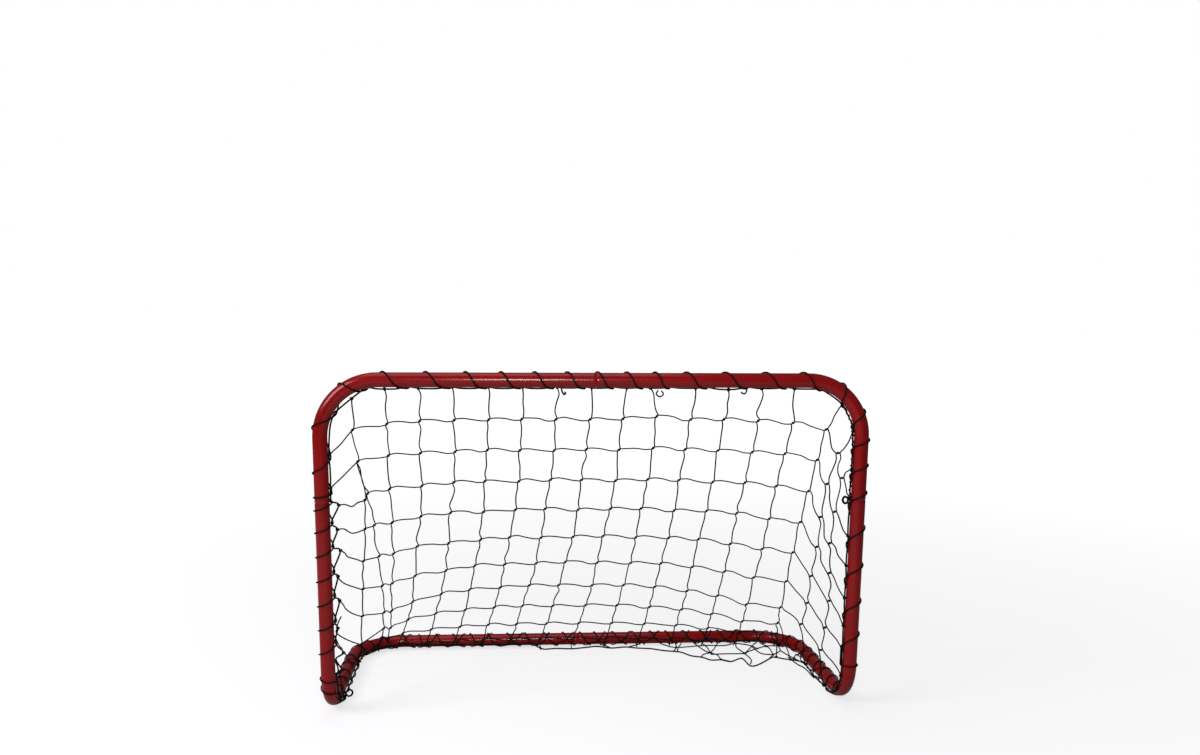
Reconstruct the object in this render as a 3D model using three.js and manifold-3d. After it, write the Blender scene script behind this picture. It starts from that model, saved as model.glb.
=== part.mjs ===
// A small steel tube floorball goal that comes apart into six bent tubes.
// The tubes push into each other and a sprung button locks each joint.
// A knotted net hangs from the crossbar down to the rear bar, and a cord wound
// round every tube laces it to the frame.
//
// Millimetres, +Z up. The mouth faces -Y. The origin is on the floor, at the
// middle of the goal's width and depth.

import * as THREE from "three";
import { mergeVertices } from "three/addons/utils/BufferGeometryUtils.js";
import Module from "manifold-3d";

const wasm = await Module();
wasm.setup();

// Frame
const frameWidth = 950; // over the tubes
const frameHeight = 600; // from the floor tubes' underside to the crossbar's top
const frameDepth = 400; // over the tubes
const tubeDiameter = 25;
const tubeWall = 1.2;
const cornerBendRadius = 98; // to the tube's middle, top and rear corners alike
const footBendRadius = 66; // to the tube's middle
const shortLegReach = 220; // from a corner's outer face to the joint in its short leg
const tubeSides = 16;
const bendSteps = 8;

// Push fit joints
const shoulderLength = 2.5; // where the tube narrows to its spigot
const spigotLength = 40;
const slipClearance = 0.3; // between spigot and socket, and round each button
const seatGap = 0.3; // between pieces that lie on each other
const buttonDiameter = 6;
const buttonProud = 2.2; // above the tube's surface
const buttonFromRim = 20; // from the socket's rim
const buttonFlangeDiameter = 8;
const buttonFlangeThickness = 1;
const buttonDomeHeight = 1.5;
const buttonSides = 16;
const domeSteps = 3;
const clipWidth = 6;
const clipThickness = 0.6;
const clipLegLength = 18; // from the button to the bend
const clipTailLength = 5; // past the button
const clipBendSteps = 8;

// Lashings: a cord wound round the tubes
const lashThickness = 2.4;
const lashSteps = 8; // in one turn
const legTurns = 7;
const rearTurns = 16;
const lashSlack = 0.9; // between the border cord and the turn that ties it to the tube
const footWrapShare = 0.5; // how much of the foot bend the leg's lashing covers

// Net and its border cord
const borderDiameter = 3;
const borderSides = 6;
const borderBendStep = 0.13; // the most that the border turns at one place, in radians
const borderArcSteps = 6; // round a foot or a rear corner
const borderDroop = 4; // how far the border hangs off the tube between two turns
const borderBeforeBar = 26; // from the rear bar's middle to the border on the floor
const legBorderDrop = 8; // from the leg's middle down to the border beside it
const floorGap = 0.4; // under the border that lies loose on the floor
const looseShares = [
  [0.1, 0.98],
  [0.21, 1],
  [0.33, 0.93],
  [0.4, 0.8],
  [0.5, 0.57],
  [0.6, 0.47],
  [0.69, 0.33],
  [0.76, 0.13],
  [0.82, 0.22],
  [0.9, 0.48],
  [0.95, 0.41],
  [0.98, 0.25],
  [1, 0],
]; // of the way to the border beside the right leg and to the border before the rear bar
const twineThickness = 2;
const meshPitch = 58.5; // from strand to strand along the crossbar
const columnShift = -6; // of the middle strand from the goal's middle
const rowShares = [0.128, 0.231, 0.338, 0.446, 0.554, 0.659, 0.755, 0.845, 0.927];
const postTurns = rowShares.length - 1; // one between each two rows of the side nets
const netDrift = 68; // how far the left half's strands lean left at the rear bar
const driftPower = 3;
const driftFullShare = 0.13; // of the way left to the corner, where the lean is whole
const driftEndShare = 0.7; // of the way right to the corner, where the lean has gone
const driftLeftShare = 0.25; // of the way back from the left corner, where it is whole
const knotWander = 3; // how far knots stray from even rows and columns
const wanderAcross = 2.1; // radians of the straying's wave in one mesh across
const wanderDown = 1.7; // and in one mesh down
const cornerSag = 24; // how much lower the rows sit at the corner strands
const cornerSagPower = 6;
const sideMeshWidth = 65;
const sideSlack = 33; // how far the side net's rows hang
const slackPeak = 4 / 27; // the most that share x (1 - share) x (1 - share) comes to
const sideCrowdPower = 0.8; // below 1 the side net's columns crowd to the rear
const sideCurl = 9; // how late the side net turns in to the corner strand near the floor
const sideCurlPower = 4; // how fast that fades up the goal
const cutPast = 10; // how far an open mesh's cut reaches past the net
const overrun = 5; // how far a cut reaches past what it cuts

const tubeRadius = tubeDiameter / 2;
const cornerFactor = 1 / Math.cos(Math.PI / tubeSides); // corner of a section to its flat
const borderRadius = borderDiameter / 2;
const halfTwine = twineThickness / 2;

// The lashing lies on the tube's corners, and the goal stands on its turns.
const lashInner = tubeRadius * cornerFactor + seatGap;
const lashOuter = lashInner + lashThickness;
const lashCorner = 1 / Math.cos(Math.PI / lashSteps);
const lift = lashOuter - tubeRadius;

const xPost = frameWidth / 2 - tubeRadius;
const yFront = tubeRadius - frameDepth / 2;
const yRear = frameDepth / 2 - tubeRadius;
const zLow = lift + tubeRadius;
const zHigh = lift + frameHeight - tubeRadius;
const zSeam = lift + frameHeight - shortLegReach;
const ySeam = frameDepth / 2 - shortLegReach;
const xBend = xPost - cornerBendRadius; // where the crossbar and the rear bar start to bend

const red = { color: 0x9c1d1f, roughness: 0.32, metalness: 0.1 };
const steel = { color: 0xb9bcc0, roughness: 0.35, metalness: 0.9 };
const black = { color: 0x17181a, roughness: 0.85, metalness: 0 };

const vec = (x, y, z) => new THREE.Vector3(x, y, z);
const along = (point, direction, distance) => point.clone().addScaledVector(direction, distance);

// Solids

// The closed solid of a geometry, with its doubled vertices merged.
function solidOf(geometry) {
  const bare = new THREE.BufferGeometry();
  bare.setAttribute("position", geometry.getAttribute("position"));
  if (geometry.index) bare.setIndex(geometry.index);
  const merged = mergeVertices(bare);
  return new wasm.Manifold(
    new wasm.Mesh({
      numProp: 3,
      vertProperties: merged.attributes.position.array,
      triVerts: new Uint32Array(merged.index.array),
    }),
  );
}

function geometryOf(solid) {
  const mesh = solid.getMesh();
  const geometry = new THREE.BufferGeometry();
  geometry.setAttribute("position", new THREE.BufferAttribute(mesh.vertProperties, mesh.numProp));
  geometry.setIndex(new THREE.BufferAttribute(mesh.triVerts, 1));
  return geometry;
}

// A run of places that a section is swept through, each with its direction.
class Run extends THREE.Curve {
  constructor(stations) {
    super();
    this.stations = stations;
  }

  station(share) {
    return this.stations[Math.round(share * (this.stations.length - 1))];
  }

  getPointAt(share, target = new THREE.Vector3()) {
    return target.copy(this.station(share).point);
  }

  getTangentAt(share, target = new THREE.Vector3()) {
    return target.copy(this.station(share).tangent);
  }
}

function polygon(radius, sides, turn) {
  const points = [];
  for (let i = 0; i < sides; i += 1) {
    const angle = ((i + turn) * 2 * Math.PI) / sides;
    points.push(new THREE.Vector2(radius * Math.cos(angle), radius * Math.sin(angle)));
  }
  return points;
}

function sweep(section, stations) {
  return new THREE.ExtrudeGeometry(section, {
    steps: stations.length - 1,
    extrudePath: new Run(stations),
  });
}

// A cord through a list of points.
function cordThrough(points, diameter, sides) {
  const stations = points.map((point, i) => {
    const before = points[Math.max(i - 1, 0)];
    const after = points[Math.min(i + 1, points.length - 1)];
    return { point, tangent: after.clone().sub(before).normalize() };
  });
  return sweep(new THREE.Shape(polygon(diameter / 2, sides, 0)), stations);
}

// Tubes

// The tube's ring section, with flats facing its four sides.
function tubeSection() {
  const half = 0.5; // of a side, which turns a flat to face each way
  const shape = new THREE.Shape(polygon(tubeRadius * cornerFactor, tubeSides, half));
  const bore = polygon((tubeRadius - tubeWall) * cornerFactor, tubeSides, half);
  shape.holes.push(new THREE.Path(bore.reverse()));
  return shape;
}

// The places of a bend of 90 degrees from direction a to direction b.
function bendStations(corner, a, b, radius) {
  const centre = along(along(corner, a, -radius), b, radius);
  const stations = [];
  for (let i = 0; i <= bendSteps; i += 1) {
    const angle = (i / bendSteps) * (Math.PI / 2);
    const point = along(along(centre, b, -radius * Math.cos(angle)), a, radius * Math.sin(angle));
    const tangent = vec(0, 0, 0)
      .addScaledVector(a, Math.cos(angle))
      .addScaledVector(b, Math.sin(angle));
    stations.push({ point, tangent });
  }
  return stations;
}

// The end of a tube at a joint. A spigot runs on past the seam, and a socket stops short of it.
function endStations(seam, outward, spigot, tangent) {
  const rim = along(seam, outward, -shoulderLength / 2);
  if (!spigot) return [{ point: rim, tangent }];
  const neck = along(seam, outward, shoulderLength / 2);
  return [rim, neck, along(neck, outward, spigotLength)].map((point) => ({ point, tangent }));
}

// Narrows a tube's end to a spigot that slips into the next tube's bore.
function narrow(geometry, seam, outward) {
  const position = geometry.getAttribute("position");
  const rim = along(seam, outward, -shoulderLength / 2);
  const sink = (tubeWall + slipClearance) * cornerFactor;
  const vertex = vec(0, 0, 0);
  for (let i = 0; i < position.count; i += 1) {
    vertex.fromBufferAttribute(position, i);
    const past = vertex.clone().sub(rim).dot(outward);
    const axis = along(rim, outward, past);
    const radius = vertex.distanceTo(axis);
    if (past <= 0 || radius > tubeDiameter) continue;
    const less = sink * Math.min(past / shoulderLength, 1);
    vertex.sub(axis).multiplyScalar((radius - less) / radius).add(axis);
    position.setXYZ(i, vertex.x, vertex.y, vertex.z);
  }
}

// A tube with one bend, from the seam at one end to the seam at the other.
function bentTube(start, corner, end, radius, spigots) {
  const a = corner.clone().sub(start).normalize();
  const b = end.clone().sub(corner).normalize();
  const back = a.clone().negate();
  const stations = [
    ...endStations(start, back, spigots.start, a).reverse(),
    ...bendStations(corner, a, b, radius),
    ...endStations(end, b, spigots.end, b),
  ];
  const geometry = sweep(tubeSection(), stations);
  if (spigots.start) narrow(geometry, start, back);
  if (spigots.end) narrow(geometry, end, b);
  return solidOf(geometry);
}

// Joints: the seam, the way the spigot goes in, and the way the button faces.
const joints = {
  crossbar: { seam: vec(0, yFront, zHigh), into: vec(1, 0, 0), out: vec(0, 1, 0) },
  rear: { seam: vec(0, yRear, zLow), into: vec(1, 0, 0), out: vec(0, 1, 0) },
  post_left: { seam: vec(-xPost, yFront, zSeam), into: vec(0, 0, -1), out: vec(0, 1, 0) },
  post_right: { seam: vec(xPost, yFront, zSeam), into: vec(0, 0, -1), out: vec(0, 1, 0) },
  leg_left: { seam: vec(-xPost, ySeam, zLow), into: vec(0, -1, 0), out: vec(-1, 0, 0) },
  leg_right: { seam: vec(xPost, ySeam, zLow), into: vec(0, -1, 0), out: vec(1, 0, 0) },
};

const buttonCentre = ({ seam, into }) => along(seam, into, shoulderLength / 2 + buttonFromRim);

// Turns a piece made about its own Y axis, with its length along X, to face out of a joint.
function placed(geometry, joint) {
  const side = joint.into.clone().cross(joint.out);
  const turn = new THREE.Matrix4().makeBasis(joint.into, joint.out, side);
  return geometry.applyMatrix4(turn.setPosition(buttonCentre(joint)));
}

function buttonHole(joint) {
  const reach = tubeRadius + overrun;
  const hole = new THREE.CylinderGeometry(
    buttonDiameter / 2 + slipClearance,
    buttonDiameter / 2 + slipClearance,
    reach,
    buttonSides,
  );
  hole.translate(0, reach / 2, 0);
  return solidOf(placed(hole, joint));
}

const leftTop = vec(-xPost, yFront, zHigh);
const rightTop = vec(xPost, yFront, zHigh);
const leftFoot = vec(-xPost, yFront, zLow);
const rightFoot = vec(xPost, yFront, zLow);
const leftRear = vec(-xPost, yRear, zLow);
const rightRear = vec(xPost, yRear, zLow);

// Every tube: its ends, its corner, which ends are spigots and which joints it holds.
const tubes = {
  crossbar_left: {
    ends: [joints.crossbar, leftTop, joints.post_left],
    radius: cornerBendRadius,
    spigots: { start: true, end: true },
  },
  crossbar_right: {
    ends: [joints.crossbar, rightTop, joints.post_right],
    radius: cornerBendRadius,
    spigots: { start: false, end: true },
  },
  side_left: {
    ends: [joints.post_left, leftFoot, joints.leg_left],
    radius: footBendRadius,
    spigots: { start: false, end: false },
  },
  side_right: {
    ends: [joints.post_right, rightFoot, joints.leg_right],
    radius: footBendRadius,
    spigots: { start: false, end: false },
  },
  rear_bar_left: {
    ends: [joints.rear, leftRear, joints.leg_left],
    radius: cornerBendRadius,
    spigots: { start: true, end: true },
  },
  rear_bar_right: {
    ends: [joints.rear, rightRear, joints.leg_right],
    radius: cornerBendRadius,
    spigots: { start: false, end: true },
  },
};

function tubeGeometry({ ends, radius, spigots }) {
  const [first, corner, last] = ends;
  return geometryOf(
    bentTube(first.seam, corner, last.seam, radius, spigots)
      .subtract(buttonHole(first))
      .subtract(buttonHole(last)),
  );
}

// Snap buttons and their clips, made about the button's own axis, which is Y

const spigotBore = tubeRadius - 2 * tubeWall - slipClearance;
const flangeTop = Math.sqrt(spigotBore ** 2 - (buttonFlangeDiameter / 2) ** 2) - seatGap;
const flangeBottom = flangeTop - buttonFlangeThickness;
const clipTop = flangeBottom - seatGap;
const clipBottom = -(Math.sqrt(spigotBore ** 2 - (clipWidth / 2) ** 2) - seatGap);

// A headed pin: a flange inside the tube, a shank through both walls and a domed end.
function buttonGeometry() {
  const tip = tubeRadius + buttonProud;
  const shank = buttonDiameter / 2;
  const profile = [
    new THREE.Vector2(0, flangeBottom),
    new THREE.Vector2(buttonFlangeDiameter / 2, flangeBottom),
    new THREE.Vector2(buttonFlangeDiameter / 2, flangeTop),
    new THREE.Vector2(shank, flangeTop),
  ];
  for (let i = 0; i <= domeSteps; i += 1) {
    const angle = (i / domeSteps) * (Math.PI / 2);
    const rise = buttonDomeHeight * Math.sin(angle);
    const radius = i === domeSteps ? 0 : shank * Math.cos(angle);
    profile.push(new THREE.Vector2(radius, tip - buttonDomeHeight + rise));
  }
  return new THREE.LatheGeometry(profile, buttonSides);
}

// A strip bent to a U. The button sits on one leg, and the other bears on the tube's far wall.
function clipGeometry() {
  const middle = (clipTop + clipBottom) / 2;
  const outer = (clipTop - clipBottom) / 2;
  const inner = outer - clipThickness;
  const outline = [new THREE.Vector2(-clipTailLength, middle + inner)];
  outline.push(new THREE.Vector2(-clipTailLength, clipTop));
  const arc = (radius, from, to) => {
    for (let i = 0; i <= clipBendSteps; i += 1) {
      const angle = from + ((to - from) * i) / clipBendSteps;
      const x = clipLegLength + radius * Math.cos(angle);
      outline.push(new THREE.Vector2(x, middle + radius * Math.sin(angle)));
    }
  };
  arc(outer, Math.PI / 2, -Math.PI / 2);
  outline.push(new THREE.Vector2(-clipTailLength, clipBottom));
  outline.push(new THREE.Vector2(-clipTailLength, middle - inner));
  arc(inner, -Math.PI / 2, Math.PI / 2);
  const strip = new THREE.ExtrudeGeometry(new THREE.Shape(outline), {
    depth: clipWidth,
    bevelEnabled: false,
  });
  return strip.translate(0, 0, -clipWidth / 2);
}

// Centre lines that the lashings follow

// A centre line of straights and bends. at(s) gives the place s along it.
class CentreLine {
  constructor(start, corners, end) {
    this.pieces = [];
    let from = start;
    corners.forEach(({ point, radius }, i) => {
      const next = corners[i + 1] ? corners[i + 1].point : end;
      const a = point.clone().sub(from).normalize();
      const b = next.clone().sub(point).normalize();
      const bendStart = along(point, a, -radius);
      this.pieces.push({ start: from, a, length: bendStart.distanceTo(from) });
      this.pieces.push({ centre: along(bendStart, b, radius), a, b, radius });
      from = along(point, b, radius);
    });
    const last = end.clone().sub(from);
    this.pieces.push({ start: from, a: last.clone().normalize(), length: last.length() });
    this.pieces.forEach((piece) => {
      if (piece.radius) piece.length = (piece.radius * Math.PI) / 2;
    });
    this.length = this.pieces.reduce((sum, piece) => sum + piece.length, 0);
  }

  at(distance) {
    let s = distance;
    let piece = this.pieces[0];
    for (const next of this.pieces) {
      piece = next;
      if (s <= piece.length || piece === this.pieces[this.pieces.length - 1]) break;
      s -= piece.length;
    }
    if (!piece.radius) return { point: along(piece.start, piece.a, s), tangent: piece.a.clone() };
    const { centre, a, b, radius } = piece;
    const angle = s / radius;
    const point = along(along(centre, b, -radius * Math.cos(angle)), a, radius * Math.sin(angle));
    const tangent = vec(0, 0, 0)
      .addScaledVector(a, Math.cos(angle))
      .addScaledVector(b, Math.sin(angle));
    return { point, tangent };
  }
}

// The front frame from the left foot's bend to the right one's.
const zFootBend = zLow + footBendRadius;
const frontLine = new CentreLine(
  vec(-xPost, yFront, zFootBend),
  [
    { point: leftTop, radius: cornerBendRadius },
    { point: rightTop, radius: cornerBendRadius },
  ],
  vec(xPost, yFront, zFootBend),
);
const postLength = zHigh - cornerBendRadius - zFootBend;
const bendLength = (cornerBendRadius * Math.PI) / 2;

// The floor frame on one side: down the post's end, round the foot and along the leg.
const legLine = (x) =>
  new CentreLine(
    vec(x, yFront, zFootBend),
    [{ point: vec(x, yFront, zLow), radius: footBendRadius }],
    vec(x, yRear - cornerBendRadius, zLow),
  );
const rearLine = new CentreLine(
  vec(-xPost, yRear - cornerBendRadius, zLow),
  [
    { point: leftRear, radius: cornerBendRadius },
    { point: rightRear, radius: cornerBendRadius },
  ],
  vec(xPost, yRear - cornerBendRadius, zLow),
);

// Lashings

// The way from the crossbar's axis down to the border cord that lies before the rear bar.
const floorBorder = {
  y: yRear - borderBeforeBar,
  z: floorGap + borderRadius,
  reach: lashOuter * lashCorner + seatGap + borderRadius,
};
const netLine = vec(0, floorBorder.y - yFront, floorBorder.z - zHigh);
const netLength = netLine.length();
const netWay = netLine.clone().normalize();

// The side of the front frame that the border cord lies on, at a place on its centre line.
function inward({ point, tangent }) {
  const middle = vec(0, yFront, zLow);
  const facing = middle.sub(point);
  facing.addScaledVector(tangent, -facing.dot(tangent)).setY(0).normalize();
  const level = Math.abs(tangent.x) ** 2;
  return facing.addScaledVector(vec(0, netWay.y / -netWay.z, 0), level).normalize();
}

// The border clears the tube at a turn, and a turn is pulled out round it there.
const borderNear = tubeRadius * cornerFactor + seatGap + borderRadius;
const borderFar = borderNear + borderDroop;
const lashBulge = borderNear + borderRadius * lashCorner + lashSlack;

// Joins rings of points into one closed tube.
function closedTube(rings) {
  const sides = rings[0].length;
  const position = rings.flat().flatMap((p) => [p.x, p.y, p.z]);
  const index = [];
  for (let ring = 0; ring < rings.length - 1; ring += 1) {
    for (let side = 0; side < sides; side += 1) {
      const next = (side + 1) % sides;
      const here = ring * sides;
      const there = here + sides;
      index.push(here + side, here + next, there + next);
      index.push(here + side, there + next, there + side);
    }
  }
  const last = (rings.length - 1) * sides;
  for (let side = 1; side < sides - 1; side += 1) {
    index.push(0, side + 1, side);
    index.push(last, last + side, last + side + 1);
  }
  const geometry = new THREE.BufferGeometry();
  geometry.setAttribute("position", new THREE.Float32BufferAttribute(position, 3));
  geometry.setIndex(index);
  return geometry;
}

// The least gap between a cord's own turns, from its middle points.
function leastSelfGap(middles, thickness) {
  let least = Infinity;
  middles.forEach((point, i) => {
    for (let j = i + lashSteps / 2 + 1; j < middles.length; j += 1) {
      least = Math.min(least, point.distanceTo(middles[j]));
    }
  });
  return least - thickness;
}

// A cord wound round a centre line, from one distance along it to another.
// toward(place) is the side that its first corner of each turn faces, hand is the way it
// turns, and out is how far that corner stands off. ties are its places at that side.
function winding(name, line, from, to, turns, { toward, hand, out, turned }) {
  const count = turns * lashSteps;
  const rings = [];
  const middles = [];
  const ties = [];
  for (let i = 0; i <= count; i += 1) {
    const distance = from + ((to - from) * i) / count;
    const place = line.at(distance);
    const face = toward(place);
    face.addScaledVector(place.tangent, -face.dot(place.tangent)).normalize();
    const side = place.tangent.clone().cross(face).normalize();
    const step = i - lashSteps / 2 + turned;
    const angle = (hand * step * 2 * Math.PI) / lashSteps;
    const radial = vec(0, 0, 0)
      .addScaledVector(face, Math.cos(angle))
      .addScaledVector(side, Math.sin(angle));
    const tied = out > 0 && i % lashSteps === lashSteps / 2;
    const inner = tied ? out : lashInner * lashCorner;
    const outer = tied ? out + lashThickness : lashOuter * lashCorner;
    const halfWidth = place.tangent.clone().multiplyScalar((-lashThickness / 2) * hand);
    if (tied) ties.push(distance);
    const low = along(place.point, radial, inner);
    const high = along(place.point, radial, outer);
    rings.push([
      low.clone().add(halfWidth),
      low.clone().sub(halfWidth),
      high.clone().sub(halfWidth),
      high.clone().add(halfWidth),
    ]);
    middles.push(along(place.point, radial, (inner + outer) / 2));
  }
  const gap = leastSelfGap(middles, lashThickness);
  console.log(`${name}: ${turns} turns, least gap to itself ${gap.toFixed(2)} mm`);
  return { geometry: closedTube(rings), ties };
}

const crossbarFrom = postLength;
const crossbarTo = frontLine.length - postLength;
const crossbarTurns = 2 * Math.round((crossbarTo - crossbarFrom) / meshPitch / 2);
const tight = { toward: inward, out: lashBulge, turned: 0 };
const down = () => vec(0, 0, -1);
const halfStep = 0.5; // of a step, which lays a flat length of cord under the tube
const onFloor = { toward: down, out: 0, turned: halfStep };
const legFrom = (footBendRadius * Math.PI * (1 - footWrapShare)) / 2;
const rearFrom = lashThickness + seatGap;

const lashings = {
  lashing_post_left: winding("lashing_post_left", frontLine, 0, crossbarFrom, postTurns, {
    ...tight,
    hand: 1,
  }),
  lashing_crossbar: winding(
    "lashing_crossbar",
    frontLine,
    crossbarFrom + lashThickness + seatGap,
    crossbarTo - lashThickness - seatGap,
    crossbarTurns,
    { ...tight, hand: 1 },
  ),
  lashing_post_right: winding(
    "lashing_post_right",
    frontLine,
    crossbarTo,
    frontLine.length,
    postTurns,
    { ...tight, hand: 1 },
  ),
  lashing_leg_left: winding(
    "lashing_leg_left",
    legLine(-xPost),
    legFrom,
    legLine(-xPost).length,
    legTurns,
    { ...onFloor, hand: 1 },
  ),
  lashing_leg_right: winding(
    "lashing_leg_right",
    legLine(xPost),
    legFrom,
    legLine(xPost).length,
    legTurns,
    { ...onFloor, hand: -1 },
  ),
  lashing_rear: winding(
    "lashing_rear",
    rearLine,
    rearFrom,
    rearLine.length - rearFrom,
    rearTurns,
    { ...onFloor, hand: 1 },
  ),
};

// Border cords

const borderAt = (distance, reach) => {
  const place = frontLine.at(distance);
  return along(place.point, inward(place), reach);
};

// How far off the tube the border round the mouth runs: close at each turn of the lashing,
// and hanging away between two.
function borderReaches() {
  const { lashing_post_left, lashing_crossbar, lashing_post_right } = lashings;
  const ties = [lashing_post_left, lashing_crossbar, lashing_post_right].flatMap((l) => l.ties);
  const places = [{ distance: 0, reach: borderNear }];
  ties.forEach((tie, i) => {
    places.push({ distance: tie, reach: borderNear });
    const next = ties[i + 1];
    if (next) places.push({ distance: (tie + next) / 2, reach: borderFar });
  });
  places.push({ distance: frontLine.length, reach: borderNear });
  return places;
}
const reaches = borderReaches();

function borderReachAt(distance) {
  const next = Math.max(reaches.findIndex((place) => place.distance >= distance), 1);
  const before = reaches[next - 1];
  const after = reaches[next];
  const share = (distance - before.distance) / (after.distance - before.distance);
  return before.reach + (after.reach - before.reach) * share;
}

function frontBorderPoints() {
  const points = [];
  reaches.forEach((place, i) => {
    const next = reaches[i + 1];
    points.push(borderAt(place.distance, place.reach));
    if (!next) return;
    const turn = frontLine.at(place.distance).tangent.angleTo(frontLine.at(next.distance).tangent);
    const steps = Math.ceil(turn / borderBendStep);
    for (let step = 1; step < steps; step += 1) {
      const distance = place.distance + ((next.distance - place.distance) * step) / steps;
      points.push(borderAt(distance, borderReachAt(distance)));
    }
  });
  return points;
}

// The border beside a foot bend, a share of the way from the post to the leg.
function footBorder(side, share) {
  const angle = (share * Math.PI) / 2;
  const spread = Math.min(share / footWrapShare, 1);
  const reach = borderNear + (floorBorder.reach - borderNear) * spread;
  const dip = Math.asin(legBorderDrop / floorBorder.reach) * share;
  const radius = footBendRadius + reach * Math.sin(dip);
  return vec(
    side * (xPost - reach * Math.cos(dip)),
    yFront + footBendRadius - radius * Math.cos(angle),
    zFootBend - radius * Math.sin(angle),
  );
}

const legBorderX = xPost - Math.sqrt(floorBorder.reach ** 2 - legBorderDrop ** 2);
const legBorderZ = zLow - legBorderDrop;
const yBend = yRear - cornerBendRadius; // where the legs start to bend

// The border inside a rear corner, from the leg to the rear bar.
function cornerBorder(side, share) {
  const angle = (share * Math.PI) / 2;
  return vec(
    side * (xBend + (legBorderX - xBend) * Math.cos(angle)),
    yBend + (floorBorder.y - yBend) * Math.sin(angle),
    legBorderZ + (floorBorder.z - legBorderZ) * share,
  );
}

const looseRoute = looseShares.map(([xShare, yShare]) =>
  vec(legBorderX * xShare, floorBorder.y * yShare, floorBorder.z),
);

// The border on the floor: round the left foot, along the leg and before the rear bar, then
// loose over the floor to the right leg and round the right foot.
function floorBorderPoints() {
  const points = [];
  const footStart = seatGap / ((footBendRadius * Math.PI) / 2);
  for (let i = 0; i <= borderArcSteps; i += 1) {
    points.push(footBorder(-1, Math.max(i / borderArcSteps, footStart)));
  }
  for (let i = 0; i <= borderArcSteps; i += 1) points.push(cornerBorder(-1, i / borderArcSteps));
  points.push(vec(0, floorBorder.y, floorBorder.z), ...looseRoute);
  for (let i = borderArcSteps; i >= 0; i -= 1) {
    points.push(footBorder(1, Math.max(i / borderArcSteps, footStart)));
  }
  return points;
}

// Net

// A mesh's hole: its corners run counter-clockwise, each edge moved in by half a strand where
// a strand runs along it, and out past the net where the mesh is open.
function meshHole({ points, strands }) {
  const lines = points.map((point, i) => {
    const way = points[(i + 1) % points.length].clone().sub(point).normalize();
    const normal = new THREE.Vector2(-way.y, way.x);
    return { point: point.clone().addScaledVector(normal, strands[i] ? halfTwine : -cutPast), way };
  });
  return lines.map(({ point, way }, i) => {
    const before = lines[(i + lines.length - 1) % lines.length];
    const share = point.clone().sub(before.point).cross(way) / before.way.cross(way);
    return before.point.clone().addScaledVector(before.way, share);
  });
}

function plate(points, thickness) {
  const slab = new THREE.ExtrudeGeometry(new THREE.Shape(points), {
    depth: thickness,
    bevelEnabled: false,
  });
  return solidOf(slab.translate(0, 0, -thickness / 2));
}

// A flat net: a sheet of twine thickness with every mesh cut out of it.
function netPanel(outline, meshes) {
  const holes = meshes.map((mesh) => plate(meshHole(mesh), twineThickness + overrun));
  const cut = holes.reduce((all, hole) => all.add(hole));
  const pieces = plate(outline, twineThickness).subtract(cut).decompose();
  return pieces.reduce((most, piece) => (piece.volume() > most.volume() ? piece : most));
}

const cordGap = borderRadius + seatGap; // from a cord's middle to the net's strand ends

// The corner strand hangs from the middle of the top bend, or from just below the turn that is
// there.
function cornerPlace() {
  const middle = postLength + bendLength / 2;
  const step = (crossbarTo - crossbarFrom) / crossbarTurns / lashSteps;
  const clear = step + lashThickness / 2 + halfTwine;
  const turn = lashings.lashing_crossbar.ties.find((tie) => Math.abs(tie - middle) < clear);
  return turn === undefined ? middle : turn - clear;
}
const cornerStart = cornerPlace();
const cornerKnot = borderAt(cornerStart, borderReachAt(cornerStart)).multiply(vec(-1, 1, 1));
const xCorner = cornerKnot.x; // the strands that run down from the mouth's corners
const flat = (x, y) => new THREE.Vector2(x, y);

// How far a knot strays, most in the net's middle.
function wander(share, x, phase) {
  const wave = (x / meshPitch) * wanderAcross + share * rowShares.length * wanderDown + phase;
  return knotWander * Math.sin(wave) * Math.sin(Math.PI * share);
}

// Where a strand that starts at x on the crossbar has got to, a share of the way down.
function drifted(x, share) {
  const left = (x / xCorner + 1) / driftLeftShare;
  const right = (driftEndShare - x / xCorner) / (driftEndShare + driftFullShare);
  const lean = THREE.MathUtils.clamp(Math.min(left, right), 0, 1);
  return x - netDrift * lean * share ** driftPower;
}

// How far down the slope a row lies at x.
const rowDepth = (share, x) =>
  share * netLength + cornerSag * Math.abs(x / xCorner) ** cornerSagPower * (1 - share);

const columnReach = Math.floor((xBend + columnShift) / meshPitch);
const columns = [];
for (let i = -columnReach; i <= columnReach; i += 1) columns.push(i * meshPitch + columnShift);
const firstColumn = columns[0];
const lastColumn = columns[columns.length - 1];

// The net's lowest strand clears the border's top, so that the border can pass under it.
const netSlant = halfTwine * (netWay.y - netWay.z); // from a strand's middle to its lowest edge
const netEndRise = floorGap + borderDiameter + seatGap + netSlant - floorBorder.z;
const netEnd = netLength + netEndRise / netWay.z; // from the crossbar to the lowest strand
const lowShare = netEnd / netLength;

// The columns that reach the border before the rear bar. The rest end at the last row.
const lowColumns = columns.filter((x) => Math.abs(drifted(x, lowShare)) < xBend + twineThickness);
const firstLow = lowColumns[0];
const lastLow = lowColumns[lowColumns.length - 1];

const backKnot = (x, share) => {
  const moved = drifted(x, share);
  const inner = Math.abs(x) < xCorner;
  const aside = inner ? wander(share, x, 0) : 0;
  return flat(moved + aside, -rowDepth(share, moved) - (inner ? wander(share, x, 1) : 0));
};

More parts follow.
